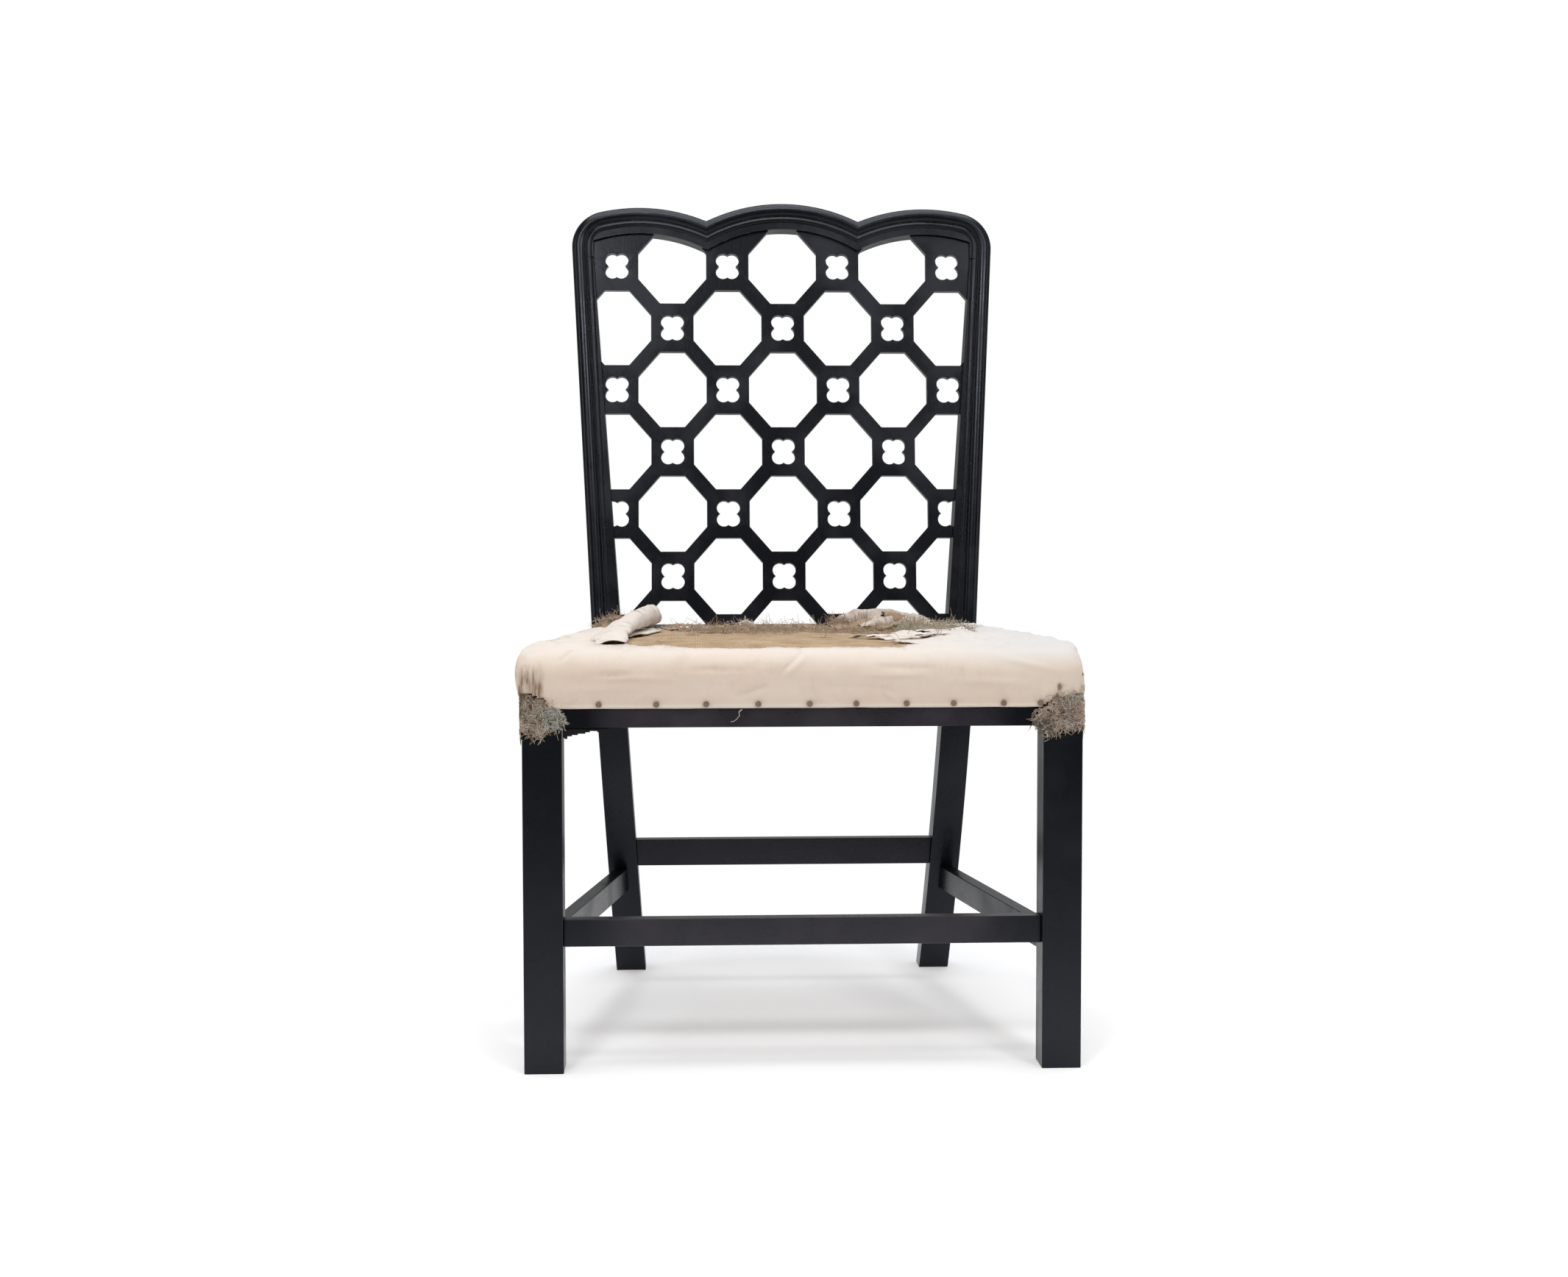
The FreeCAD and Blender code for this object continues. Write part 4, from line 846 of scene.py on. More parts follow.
# %% Measure distance from the tear
TEAR_SHARES = [
    (-0.74, 0.085), (-0.52, 0.066), (-0.20, 0.058), (0.08, 0.062), (0.34, 0.060), (0.42, 0.120),
    (0.35, 0.190), (0.56, 0.275), (0.46, 0.355), (0.64, 0.44), (0.72, 0.58), (0.62, 0.74),
    (0.52, 0.90), (0.30, 0.965), (-0.40, 0.975), (-0.56, 0.90), (-0.52, 0.66), (-0.62, 0.40),
    (-0.76, 0.20),
]
HESSIAN_TEAR_SHARES = [
    (-0.46, 0.60), (-0.20, 0.52), (0.05, 0.58), (0.30, 0.50), (0.62, 0.36), (0.66, 0.60),
    (0.50, 0.84), (0.20, 0.93), (-0.30, 0.94), (-0.50, 0.80),
]
seat_depth = post_front_y - front_y


def plan_outline(shares):
    return np.array([(leg_out * sx, front_y + seat_depth * sy) for sx, sy in shares])


def outline_distance(places, outline):
    """Distance in plan from a closed outline, positive outside it and negative inside."""
    nearest = np.full(len(places), 1e9)
    inside = np.zeros(len(places), bool)
    for start, end in zip(outline, np.roll(outline, -1, axis=0)):
        run = end - start
        share = np.clip(((places - start) @ run) / (run @ run), 0, 1)
        away = np.linalg.norm(places - start - share[:, None] * run, axis=1)
        nearest = np.minimum(nearest, away)
        crosses = (start[1] > places[:, 1]) != (end[1] > places[:, 1])
        rise = end[1] - start[1] if end[1] != start[1] else 1e-12
        at_x = start[0] + run[0] * (places[:, 1] - start[1]) / rise
        inside ^= crosses & (places[:, 0] < at_x)
    return np.where(inside, -nearest, nearest)


def ragged_distance(places, outline, broad=5.0 * MM, fine=2.2 * MM, seed=3):
    flat = on_plane(places)
    ragged = broad * lumps(flat, 22 * MM, seed) + fine * lumps(flat, 6 * MM, seed + 2)
    return outline_distance(places, outline) + ragged


def downhill(distance, places, step=0.5 * MM):
    """Direction in plan in which a distance grows fastest."""
    across = distance(places + [step, 0]) - distance(places - [step, 0])
    deep = distance(places + [0, step]) - distance(places - [0, step])
    slope = np.column_stack([across, deep])
    return slope / np.maximum(np.linalg.norm(slope, axis=1, keepdims=True), 1e-9)


def edge_points(faces, kept, count):
    """Points shared by kept and dropped faces."""
    used = np.zeros(count, bool)
    used[faces[kept]] = True
    touched = np.zeros(count, bool)
    touched[faces[~kept]] = True
    return used & touched


# %% [markdown]
# ## The webbing
# Jute webbing is tacked over the rails, four straps front to back and four across, each passing
# over and under the others. Laying them flat in two layers would be simpler, but the basket
# weave shows from below, where a buyer looks first. The straps rest on the rails at their ends.

# %% Weave the webbing
web_width = 50 * MM
web_thick = 1.2 * MM
web_rise = 0.8 * MM
web_calm = 30 * MM
long_low, long_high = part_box("webbing_long")
cross_low, cross_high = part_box("webbing_cross")
long_xs = [s * (long_high.x - web_width / 2) * share for s in (-1, 1) for share in (1, 1 / 3)]
cross_first, cross_last = cross_low.y + web_width / 2, cross_high.y - web_width / 2
cross_ys = [cross_first + (cross_last - cross_first) * n / 3 for n in range(4)]
web_middle = (long_low.z + cross_high.z) / 2


def strap(start, end, parity, crossings, lift):
    """One strap as a grid along its run, bent over and under what it crosses."""
    run = np.array(end) - np.array(start)
    length = np.linalg.norm(run)
    ahead = run / length
    side = np.array([-ahead[1], ahead[0]])
    stations = np.linspace(0, length, int(length / (4 * MM)))
    across = np.linspace(-web_width / 2, web_width / 2, 13)
    rows = []
    for at in stations:
        place = np.array(start) + ahead * at
        wave = 0.0
        for n, crossing in enumerate(crossings):
            near = math.exp(-((at - crossing) / (web_width * 0.62)) ** 2)
            wave += near * (1 if (n + parity) % 2 else -1)
        calm = min(1.0, min(at, length - at) / web_calm)
        z = web_middle + web_rise * wave * calm + lift * (1 - calm)
        rows.append([(*(place + side * a), z) for a in across])
    flat = [(a, at) for at in stations for a in across]
    return np.array(rows).reshape(-1, 3), grid_faces(len(stations), len(across)), np.array(flat)


def strap_group(name, straps, node):
    """One piece of several straps."""
    points, faces, flats, first = [], [], [], 0
    for strap_points, strap_faces, flat in straps:
        points.append(strap_points)
        faces.append(strap_faces + first)
        flats.append(flat)
        first += len(strap_points)
    piece = soft_piece(name, np.vstack(points), np.vstack(faces), web_jute,
                       np.vstack(flats), web_thick * 0.9)
    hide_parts(node)
    return piece


long_run = (long_low.y, long_high.y)
long_straps = [strap((x, long_run[0]), (x, long_run[1]), n, [y - long_run[0] for y in cross_ys],
                     long_low.z + web_thick / 2 - web_middle)
               for n, x in enumerate(sorted(long_xs))]
cross_straps = []
for n, y in enumerate(cross_ys):
    half = side_x(y) - 8 * MM
    cross_straps.append(strap((-half, y), (half, y), n + 1, [x + half for x in sorted(long_xs)],
                              cross_low.z + web_thick / 2 - web_middle))
strap_group("webbing_front_to_back", long_straps, "webbing_long")
strap_group("webbing_side_to_side", cross_straps, "webbing_cross")

# %% [markdown]
# ## The inner layers
# A seat of this kind has layers: hessian over the webbing, a pad of fibre, and a second hessian
# that holds the pad down. Each is a plan grid laid on the seat's form. The upper hessian is torn
# as well, behind the middle, and there the pad's loose fibre comes up.

# %% Lay the base hessian
base_low, base_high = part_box("hessian_base")
edge_top_z = rail_top + edge_rise


def plan_grid(inset, step):
    """A grid over the seat in plan, set in from its edges, as places and shares."""
    depth_run = seat_rear_y - front_y - 2 * inset
    rows = int(depth_run / step)
    columns = int(2 * leg_out / step)
    places, shares = [], []
    for row in range(rows + 1):
        y = front_y + inset + depth_run * row / rows
        half = side_x(y) - inset
        if y > post_front_y - 2 * MM:
            half = min(half, post_inner_at_rail - 2 * MM)
        for column in range(columns + 1):
            share = -1 + 2 * column / columns
            places.append((half * share, y))
            shares.append((share, row / rows))
    return np.array(places), np.array(shares), rows + 1, columns + 1


base_places, _, base_rows, base_columns = plan_grid(10 * MM, 6 * MM)
base_points = on_plane(base_places, (base_low.z + base_high.z) / 2)
base_points[:, 2] += 0.35 * MM * lumps(base_points, 60 * MM, 1)
base_cloth = soft_piece("base_hessian", base_points, grid_faces(base_rows, base_columns), hessian,
                        base_places, 0.8 * MM)
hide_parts("hessian_base")

# %% Stuff the pad
pad_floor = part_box("seat_stuffing")[0].z
hessian_tear = plan_outline(HESSIAN_TEAR_SHARES)


def seat_height(places, drop):
    """Height of the seat's form at places in plan, some way below the calico."""
    inset = np.minimum(side_x_many(places[:, 1]) - np.abs(places[:, 0]), places[:, 1] - front_y)
    line = np.array([(-out, z) for out, z in section_points() if z >= rail_top])
    return np.interp(inset, line[:, 0] + drop, line[:, 1] - drop)


def side_x_many(ys):
    return leg_out - taper * np.maximum(0.0, ys - front_y - leg_square)


def eased_corners(places, radius=26 * MM):
    """Pull the grid's front corners in to a round."""
    places = places.copy()
    for side in (-1, 1):
        middle = np.array([side * (leg_out - 1.5 * MM - radius), front_y + 1.5 * MM + radius])
        away = places - middle
        in_corner = (away[:, 0] * side > 0) & (away[:, 1] < 0)
        reach = np.maximum(np.abs(away[:, 0]), np.abs(away[:, 1]))
        length = np.linalg.norm(away, axis=1)
        share = np.where(in_corner & (length > 0), reach / np.maximum(length, 1e-9), 1.0)
        places = middle + away * share[:, None]
    return places


def stuffing():
    """A closed pad: a lumpy top that rolls down at the edge to a flat underside."""
    places, shares, rows, columns = plan_grid(4 * MM, 5 * MM)
    places = eased_corners(places)
    top = seat_height(places, 3.0 * MM)
    flat = on_plane(places)
    opened = climb(-outline_distance(places, hessian_tear), 2 * MM, 22 * MM)
    calm = climb(np.minimum(1 - np.abs(shares[:, 0]), shares[:, 1]), 0.0, 0.06)
    top += calm * 0.5 * MM * lumps(flat, 35 * MM, 2)
    top += calm * opened * MM * (2.2 * lumps(flat, 26 * MM, 4) + 1.6 * lumps(flat, 9 * MM, 6) - 1.2)
    from_edge = np.minimum(1 - np.abs(shares[:, 0]), np.minimum(shares[:, 1], 1 - shares[:, 1]))
    rim = climb(from_edge, 0, 0.012)
    top = pad_floor + (np.maximum(top, pad_floor + 6 * MM) - pad_floor) * (0.3 + 0.7 * rim)
    upper = np.column_stack([places, top])
    lower = on_plane(places, pad_floor + 0.2 * MM)
    faces = grid_faces(rows, columns)
    index = np.arange(rows * columns).reshape(rows, columns)
    edge = np.concatenate([index[0, :-1], index[:-1, -1], index[-1, :0:-1], index[:0:-1, 0]])
    after = np.roll(edge, -1)
    count = len(places)
    walls = np.stack([edge, edge + count, after + count, after], axis=1)
    all_faces = np.vstack([faces[:, ::-1], faces + count, walls])
    pad = soft_piece("fibre_pad", np.vstack([upper, lower]), all_faces, fibre_brown)
    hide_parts("seat_stuffing")


stuffing()


# %% Lay the torn upper hessian
def torn_hessian():
    """The hessian over the pad, with a hole whose edge curls up."""
    places, shares, rows, columns = plan_grid(1.5 * MM, 3.5 * MM)
    places = eased_corners(places)
    z = seat_height(places, 1.6 * MM)
    flat = on_plane(places)
    gap = ragged_distance(places, hessian_tear, 9 * MM, 4 * MM, 11)
    calm = climb(np.minimum(1 - np.abs(shares[:, 0]), shares[:, 1]), 0.0, 0.05)
    z += calm * MM * (0.35 * lumps(flat, 40 * MM, 7) + 0.25 * lumps(flat, 12 * MM, 8))
    curled = np.exp(-np.maximum(gap, 0) / (9 * MM))
    z += calm * curled * MM * (1.4 + 3.2 * np.maximum(0, lumps(flat, 30 * MM, 9)))
    points = np.column_stack([places, z])
    faces = grid_faces(rows, columns)
    kept = gap[faces].mean(axis=1) > 0
    points, faces, (flat_places,) = compacted(points, faces[kept], places)
    cloth = soft_piece("torn_hessian", points, faces, hessian, flat_places, 0.8 * MM)
    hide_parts("hessian_cover")


torn_hessian()

# %% [markdown]
# ## The calico cover
# One sheet of calico goes over the seat and down the rails to a hem with tacks. It is built as
# rings round the seat by rows up its section, so that one set of points makes the hem,
# the face, the rolled edge and the top, with no seam. Folding a flat grid over the corners would
# bunch its cells there. The tear is cut last, because creases must run on across it.

# %% Lay out the cover's rows and rings
COVER_STEP = 2.3 * MM
SLIPPED_LEFT = 3.0 * MM
cover_rows = resampled(section_points(), COVER_STEP)
cover_rings = [ring(out, z) for out, z in cover_rows]
stations = len(cover_rings[0])
cover_points = np.array([[(x, y, z) for x, y in places]
                         for places, (_, z) in zip(cover_rings, cover_rows)])
cover_points = cover_points.transpose(1, 0, 2).reshape(-1, 3)
at_side = climb(np.abs(cover_points[:, 0]), leg_out - 70 * MM, leg_out)
up_face = climb(cover_points[:, 2], hem_z + 4 * MM, rail_top)
cover_points[:, 0] -= SLIPPED_LEFT * at_side * up_face
row_count = len(cover_rows)
rail_row = int(np.argmax(cover_rows[:, 1] > rail_top))
rear_first = stations - RING_COUNTS[3]
station_of = np.repeat(np.arange(stations), row_count)
row_of = np.tile(np.arange(row_count), stations)
rear_skirt = (station_of >= rear_first) & (row_of < rail_row)
cover_faces = grid_faces(stations, row_count, closed=True)
cover_faces = cover_faces[~rear_skirt[cover_faces].any(axis=1)]
rail_ring = np.array(cover_rings[rail_row])
outward = np.roll(rail_ring, -1, axis=0) - np.roll(rail_ring, 1, axis=0)
outward = np.column_stack([outward[:, 1], -outward[:, 0]])
outward /= np.linalg.norm(outward, axis=1, keepdims=True)
row_gaps = np.linalg.norm(np.diff(cover_rows, axis=0), axis=1)
along_row = np.concatenate([[0], np.cumsum(row_gaps)])
excess = (along_row[-1] - along_row) - (cover_rows[:, 0] - cover_rows[-1, 0])
cover_flat = cover_points[:, :2] + outward[station_of] * excess[row_of, None]
print("cover grid", stations, "by", row_count)

# %% [markdown]
# ### Creases, tack puckers and loose cloth
# Each crease is a short line on the front face, given in millimetres: its two ends across and up,
# its depth and its width. A depth under 0 goes inward, and one factor scales all depths. A tack
# pulls the cloth in around its head, and the pull shows as faint pleats that fade upward. At the
# right of the tear the calico has come loose from the pad and lies in a crumpled heap of its own.

# %% Press the creases into the cover
FRONT_CREASES = [
    ((-214, 414.5), (-180, 414.2), -1.5, 2.2), ((-205, 410.6), (-135, 410.3), 0.9, 3.0),
    ((-2, 438.5), (-26, 416.0), -1.8, 2.6), ((6, 436.0), (-18, 413.0), 1.1, 3.0),
    ((-39, 402.4), (-72, 392.4), -1.2, 2.2), ((-236, 443.0), (-254, 428.0), -1.5, 2.6),
    ((-230, 440.0), (-246, 425.0), 0.8, 3.0), ((74, 421.6), (136, 421.2), -1.0, 2.2),
    ((64, 413.2), (128, 412.8), 0.7, 2.4), ((-120, 420.5), (-60, 419.0), -0.8, 2.2),
    ((150, 408.0), (235, 404.0), 0.6, 4.0), ((-250, 398.0), (-150, 402.0), 0.5, 4.5),
    ((20, 404.0), (90, 400.0), -0.6, 3.0), ((205, 430.0), (262, 418.0), 0.7, 3.0),
    ((-175, 386.0), (-160, 396.0), 0.6, 1.8), ((95, 388.0), (80, 398.0), 0.6, 1.8),
]
CREASE_DEPTH = 1.9


def segment_distance(places, start, end):
    """Distance of each place from a line, and how far along the line it is."""
    run = np.array(end) - np.array(start)
    share = np.clip(((places - start) @ run) / (run @ run), 0, 1)
    away = np.linalg.norm(places - np.array(start) - share[:, None] * run, axis=1)
    return away, share


def tack_places(node, axis):
    """Middles of the tack heads in a row, along one axis, read from the frame."""
    along = np.sort(np.array([v.co[axis] for v in nodes[node].data.vertices]))
    groups = np.split(along, np.where(np.diff(along) > 10 * MM)[0] + 1)
    return [float(group.min() + group.max()) / 2 for group in groups]


front_tacks = tack_places("cover_tacks_front", 0)
side_tacks = tack_places("cover_tacks_right", 1)
tack_z = sum(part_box("cover_tacks_front")[i].z for i in (0, 1)) / 2
cover_normals = normals_of(cover_points, cover_faces)
swell = 0.55 * MM * lumps(cover_points, 70 * MM, 21) + 0.25 * MM * lumps(cover_points, 22 * MM, 22)
dirt_and_shade = np.zeros(len(cover_points))
on_front = cover_points[:, 1] < front_y + 24 * MM
front_view = cover_points[:, [0, 2]]
for start, end, depth, width in FRONT_CREASES:
    ends = [np.array(p) * MM for p in (start, end)]
    wavering = front_view + (1.3 * MM * lumps(cover_points, 16 * MM, 23))[:, None]
    away, share = segment_distance(wavering, *ends)
    fade = np.sin(np.pi * np.clip(share * 0.86 + 0.07, 0, 1))
    swell += on_front * CREASE_DEPTH * depth * MM * fade * np.exp(-(away / (width * MM)) ** 2)
    # Painted shade: an inward crease also stores a dark line in the dirt number.
    dirt_and_shade += on_front * max(0, -depth) * 0.13 * fade * np.exp(-(away / (0.7 * width * MM)) ** 2)


def pucker(along, tacks, face):
    """How far the tacks pull one face in, with the pleats above them and the hem below."""
    total = np.zeros(len(cover_points))
    height = cover_points[:, 2] - tack_z
    for tack in tacks:
        aside = cover_points[:, along] - tack
        from_head = np.hypot(aside, height)
        total -= 1.3 * MM * np.exp(-(from_head / (5.5 * MM)) ** 2)
        fan = aside / (6 * MM + 0.55 * np.abs(height))
        fading = np.exp(-fan ** 2 / 2) * np.exp(-np.abs(height) / (13 * MM))
        total += 0.45 * MM * np.cos(fan * 2.6) * fading
    below = climb(-height, 1.5 * MM, 4 * MM)
    total += below * MM * (1.3 + 0.8 * lumps(cover_points, 30 * MM, 24))
    return np.where(face & (cover_points[:, 2] < rail_top), total, 0)


right_side = cover_points[:, 0] > side_x_many(cover_points[:, 1]) - 2 * MM
left_side = cover_points[:, 0] < 2 * MM - side_x_many(cover_points[:, 1])
swell += pucker(0, front_tacks, on_front) + pucker(1, side_tacks, right_side)
swell += pucker(1, side_tacks, left_side)

# %% Loosen the cloth on the top and cut the tear
CLEAR_OF_WOOD = 0.7 * MM
# Dark spots on the front face: across, up, half width and half height in millimetres
DARK_SPOTS = [(-271.5, 398.0, 2.2, 4.5), (-281.0, 393.0, 1.6, 6.0), (265.0, 400.8, 2.7, 2.7)]
tear_outline = plan_outline(TEAR_SHARES)
plan = cover_points[:, :2]
on_top = cover_points[:, 2] > rail_top + 0.7 * edge_rise
tear_gap = np.where(on_top, ragged_distance(plan, tear_outline), 1.0)


def corner_gap(side, reach, height, seed):
    """Distance from the patch that is torn away at a front corner."""
    aside = np.abs(np.abs(plan[:, 0]) - leg_out) + np.abs(plan[:, 1] - front_y)
    aside = np.where(plan[:, 0] * side > 0, aside, 1.0)
    measure = np.hypot(aside / reach, (cover_points[:, 2] - hem_z + 4 * MM) / height)
    ragged = 4.5 * MM * lumps(cover_points, 14 * MM, seed)
    ragged += 2.0 * MM * lumps(cover_points, 5 * MM, seed + 1)
    return (measure - 1) * min(reach, height) + ragged


cut_gap = np.minimum(tear_gap, corner_gap(-1, 33 * MM, 19 * MM, 31))
cut_gap = np.minimum(cut_gap, corner_gap(1, 42 * MM, 20 * MM, 35))
from_front = plan[:, 1] - front_y
loose_right = climb(plan[:, 0], 120 * MM, 190 * MM) * climb(from_front, 10 * MM, 60 * MM)
loose_left = climb(-plan[:, 0], 185 * MM, 225 * MM) * climb(from_front, 20 * MM, 70 * MM)
loose = np.maximum(loose_right, 0.55 * loose_left)
loose *= climb(cover_points[:, 2], rail_top + 8 * MM, edge_top_z)
swell += loose * MM * (8.0 * np.maximum(0, crumples(cover_points, 40 * MM, 41, 4)) + 0.6)
lifted = np.exp(-np.maximum(tear_gap, 0) / (8 * MM)) * on_top
swell += lifted * MM * (0.8 + 4.8 * np.maximum(0, lumps(cover_points, 30 * MM, 43)))
swell = np.maximum(swell, np.where(cover_points[:, 2] < rail_top, -0.7 * MM, -1.2 * MM))
cover_points = cover_points + cover_normals * swell[:, None]
least_x = side_x_many(cover_points[:, 1]) + CLEAR_OF_WOOD
clear_x = np.maximum(cover_points[:, 0], least_x)
on_right_face = right_side & (cover_points[:, 2] < rail_top)
cover_points[:, 0] = np.where(on_right_face, clear_x, cover_points[:, 0])
kept = cut_gap[cover_faces].mean(axis=1) > 0
edge = edge_points(cover_faces, kept, len(cover_points)) & on_top & (np.abs(tear_gap) < COVER_STEP)
pull = downhill(lambda q: ragged_distance(q, tear_outline), plan[edge])
cover_points[edge, :2] -= pull * tear_gap[edge, None]
torn_edge = cover_points[edge].copy()
print("the tear's edge has", len(torn_edge), "points")

# %% [markdown]
# ### Dirt and painted shade on the cover
# Dirt is one number stored at each point: high along the torn edges, round the tack heads, in
# streaks down the left corner and at three dark spots. The same number carries painted shade
# along the inward creases, and brown streaks on the top at the left front. The calico's material
# turns it brown. A painted picture would do the same, but a number at each point follows the
# cloth without one.

# %% Soil the cloth and make the cover
across, deep, up = cover_points.T
at_tear = 0.5 * np.exp(-np.maximum(tear_gap, 0) / (2.2 * MM))
dirt_and_shade += at_tear * (0.5 + lumps(cover_points, 20 * MM, 51))
at_cut = 0.45 * np.exp(-np.maximum(cut_gap, 0) / (5 * MM))
dirt_and_shade += at_cut * (0.6 + 0.8 * lumps(cover_points, 9 * MM, 52))
for tack in front_tacks:
    dirt_and_shade += 0.35 * np.exp(-((across - tack) ** 2 + (up - tack_z) ** 2) / (4 * MM) ** 2)
streak = cover_points * [1, 1, 0.12]
left_corner = climb(-across, 264 * MM, 275 * MM) * climb(-deep, -front_y - 30 * MM, -front_y)
left_corner *= climb(432 * MM - up, 0, 34 * MM)
dirt_and_shade += left_corner * np.clip(0.60 + 2.4 * lumps(streak, 5 * MM, 53), 0, 1.1)
for x, z, wide, high in DARK_SPOTS:
    spot = ((across - x * MM) / (wide * MM)) ** 2 + ((up - z * MM) / (high * MM)) ** 2
    dirt_and_shade += on_front * 1.7 * np.exp(-spot)
# Darker brown streaks on the top at the left front.
left_top_streaks = climb(-across, 0.215, 0.260) * on_top * climb(deep, -0.24, -0.16)
dirt_and_shade += left_top_streaks * np.clip(0.9 * lumps(cover_points * [1, 0.4, 1], 14 * MM, 54), 0, 0.35)
cover_points, cover_faces, (cover_flat, dirt_and_shade) = compacted(
    cover_points, cover_faces[kept], cover_flat, dirt_and_shade)
cover = soft_piece("calico_seat_cover", cover_points, cover_faces, calico_plain,
                   cover_flat, 0.8 * MM, dirt_and_shade=dirt_and_shade)
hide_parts("calico_cover")

# %% [markdown]
# ## Frayed threads along the tear
# Torn calico sheds its cross threads. Each thread starts on the torn edge that was found above,
# heads into the opening, and wanders down to the hessian. Curves with a thin bevel would do, and
# they are turned into one mesh here so that the whole fringe is a single light piece.

# %% Fray the tear's edge
FRINGE_REAR_Y = 0.08


def edge_fringe():
    """Threads along the tear, fewer and shorter at its rear."""
    dice = random.Random(71)
    strands = []
    for place, pull_to in zip(torn_edge, pull):
        behind = place[1] > FRINGE_REAR_Y
        if dice.random() > (0.07 if behind else 0.16):
            continue
        start = (*(place[:2] + pull_to * 1.5 * MM), place[2])
        lift = dice.gauss(0.15, 0.35) * (0.2 if behind else 1.0)
        heading = (-pull_to[0] + dice.gauss(0, 0.7), -pull_to[1] + dice.gauss(0, 0.7), lift)
        length = (4 + 16 * dice.random() ** 3) * (0.5 if behind else 1.0) * MM
        floor_z = place[2] - 2.0 * MM
        strands.append(curl(dice, start, heading, length, 6, 0.35, 0.12, floor_z))
    threads("torn_edge_threads", strands, 0.55 * MM, thread_pale)


edge_fringe()

# %% [markdown]
# ## Torn flaps
# Where the calico tore, strips of it folded over on themselves. A flap is a path over the seat
# with a folded section carried along it: up from the seat, over a round fold and back down. The
# section's height changes along the path, and ridged noise crumples the whole. A cloth simulation
# could fold such strips too, but it would not leave them where the photograph shows them.

# %% Fold a flap along a path
def along_path(path, share):
    """A place on a line of points, with the direction there, by share of its length."""
    line = np.array(path)
    gaps = np.linalg.norm(np.diff(line[:, :3], axis=0), axis=1)
    run = np.concatenate([[0], np.cumsum(gaps)]) / gaps.sum()
    place = np.array([np.interp(share, run, line[:, n]) for n in range(line.shape[1])])
    ahead = np.array([np.interp(min(share + 0.02, 1), run, line[:, n])
                      - np.interp(max(share - 0.02, 0), run, line[:, n]) for n in (0, 1)])
    return place, ahead / max(np.linalg.norm(ahead), 1e-9)


STRIP_CELL = 2.6 * MM


def folded_strip(name, path, section, width, seed, material, crumple, side=1, slit=0.0, node=None,
                 grime=0.0):
    """A strip along path (x, y, z, height in metres), with section as (across, up) shares."""
    line = np.array(path)
    length = np.linalg.norm(np.diff(line[:, :3], axis=0), axis=1).sum()
    usual_height = line[:, 3].mean()
    shape = resampled([(a * width, b * usual_height) for a, b in section], STRIP_CELL)
    steps = int(length / STRIP_CELL)
    points, flat, gap = [], [], []
    travelled = np.concatenate([[0], np.cumsum(np.linalg.norm(np.diff(shape, axis=0), axis=1))])
    for n in range(steps + 1):
        share = n / steps
        place, ahead = along_path(path, share)
        aside = np.array([ahead[1], -ahead[0]]) * side
        for (across, up), along in zip(shape, travelled):
            where = place[:2] + aside * across
            points.append((where[0], where[1], place[2] + up / usual_height * place[3]))
            flat.append((share * length, along))
            gap.append(min(share, 1 - share) * length)
    points, flat = np.array(points), np.array(flat)
    local = on_plane(flat)
    columns = len(shape)
    faces = grid_faces(steps + 1, columns)
    out = normals_of(points, faces)
    broad = 0.5 * lumps(local, 55 * MM, seed + 3)
    swell = crumple * (crumples(local, 26 * MM, seed) * 1.1 + broad - 0.3)
    points = points + out * swell[:, None]
    stray = np.column_stack([lumps(local, 38 * MM, seed + 4 + n) for n in range(3)])
    points += stray * [3 * MM, 3 * MM, MM]
    end_gap = np.array(gap) + (lumps(local, 14 * MM, seed + 8) - 0.4) * 7 * MM
    free_gap = travelled[-1] - flat[:, 1] + (lumps(local, 16 * MM, seed + 9) - 0.5) * 7 * MM
    free_gap += (lumps(local, 5 * MM, seed + 10)) * 2 * MM
    tear = np.minimum(end_gap, free_gap)
    if slit:
        holes = np.abs(lumps(local * [0.45, 1.6, 1], 24 * MM, seed + 12)) - slit
        tear = np.minimum(tear, holes * 40 * MM + 0.2 * MM)
    kept = tear[faces].mean(axis=1) > 0
    points[:, 2] = np.maximum(points[:, 2], seat_height(points[:, :2], 0.0) - 0.6 * MM)
    points, faces, (flat,) = compacted(points, faces[kept], flat)
    local = on_plane(flat)
    stains = 0.9 * np.clip(lumps(local, 15 * MM, seed + 5) - 0.15, 0, 1)
    stains += grime * (1 + 0.8 * lumps(local, 9 * MM, seed + 6))
    piece = soft_piece(name, points, faces, material, flat, 0.7 * MM, 1, stains)
    if node:
        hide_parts(node)


FOLDED = [(0.0, 0.02), (0.14, 0.40), (0.34, 0.85), (0.56, 1.0), (0.78, 0.90), (0.94, 0.55),
          (0.98, 0.25), (0.86, 0.06), (0.62, 0.02)]
PRESSED = [(0.0, 0.02), (0.16, 0.34), (0.36, 0.74), (0.56, 0.97), (0.70, 1.0), (0.84, 0.84),
           (0.90, 0.52), (0.84, 0.22), (0.62, 0.04)]
LAID = [(0.0, 0.05), (0.15, 0.55), (0.32, 0.80), (0.50, 0.45), (0.68, 0.70), (0.86, 0.35),
        (1.0, 0.10)]

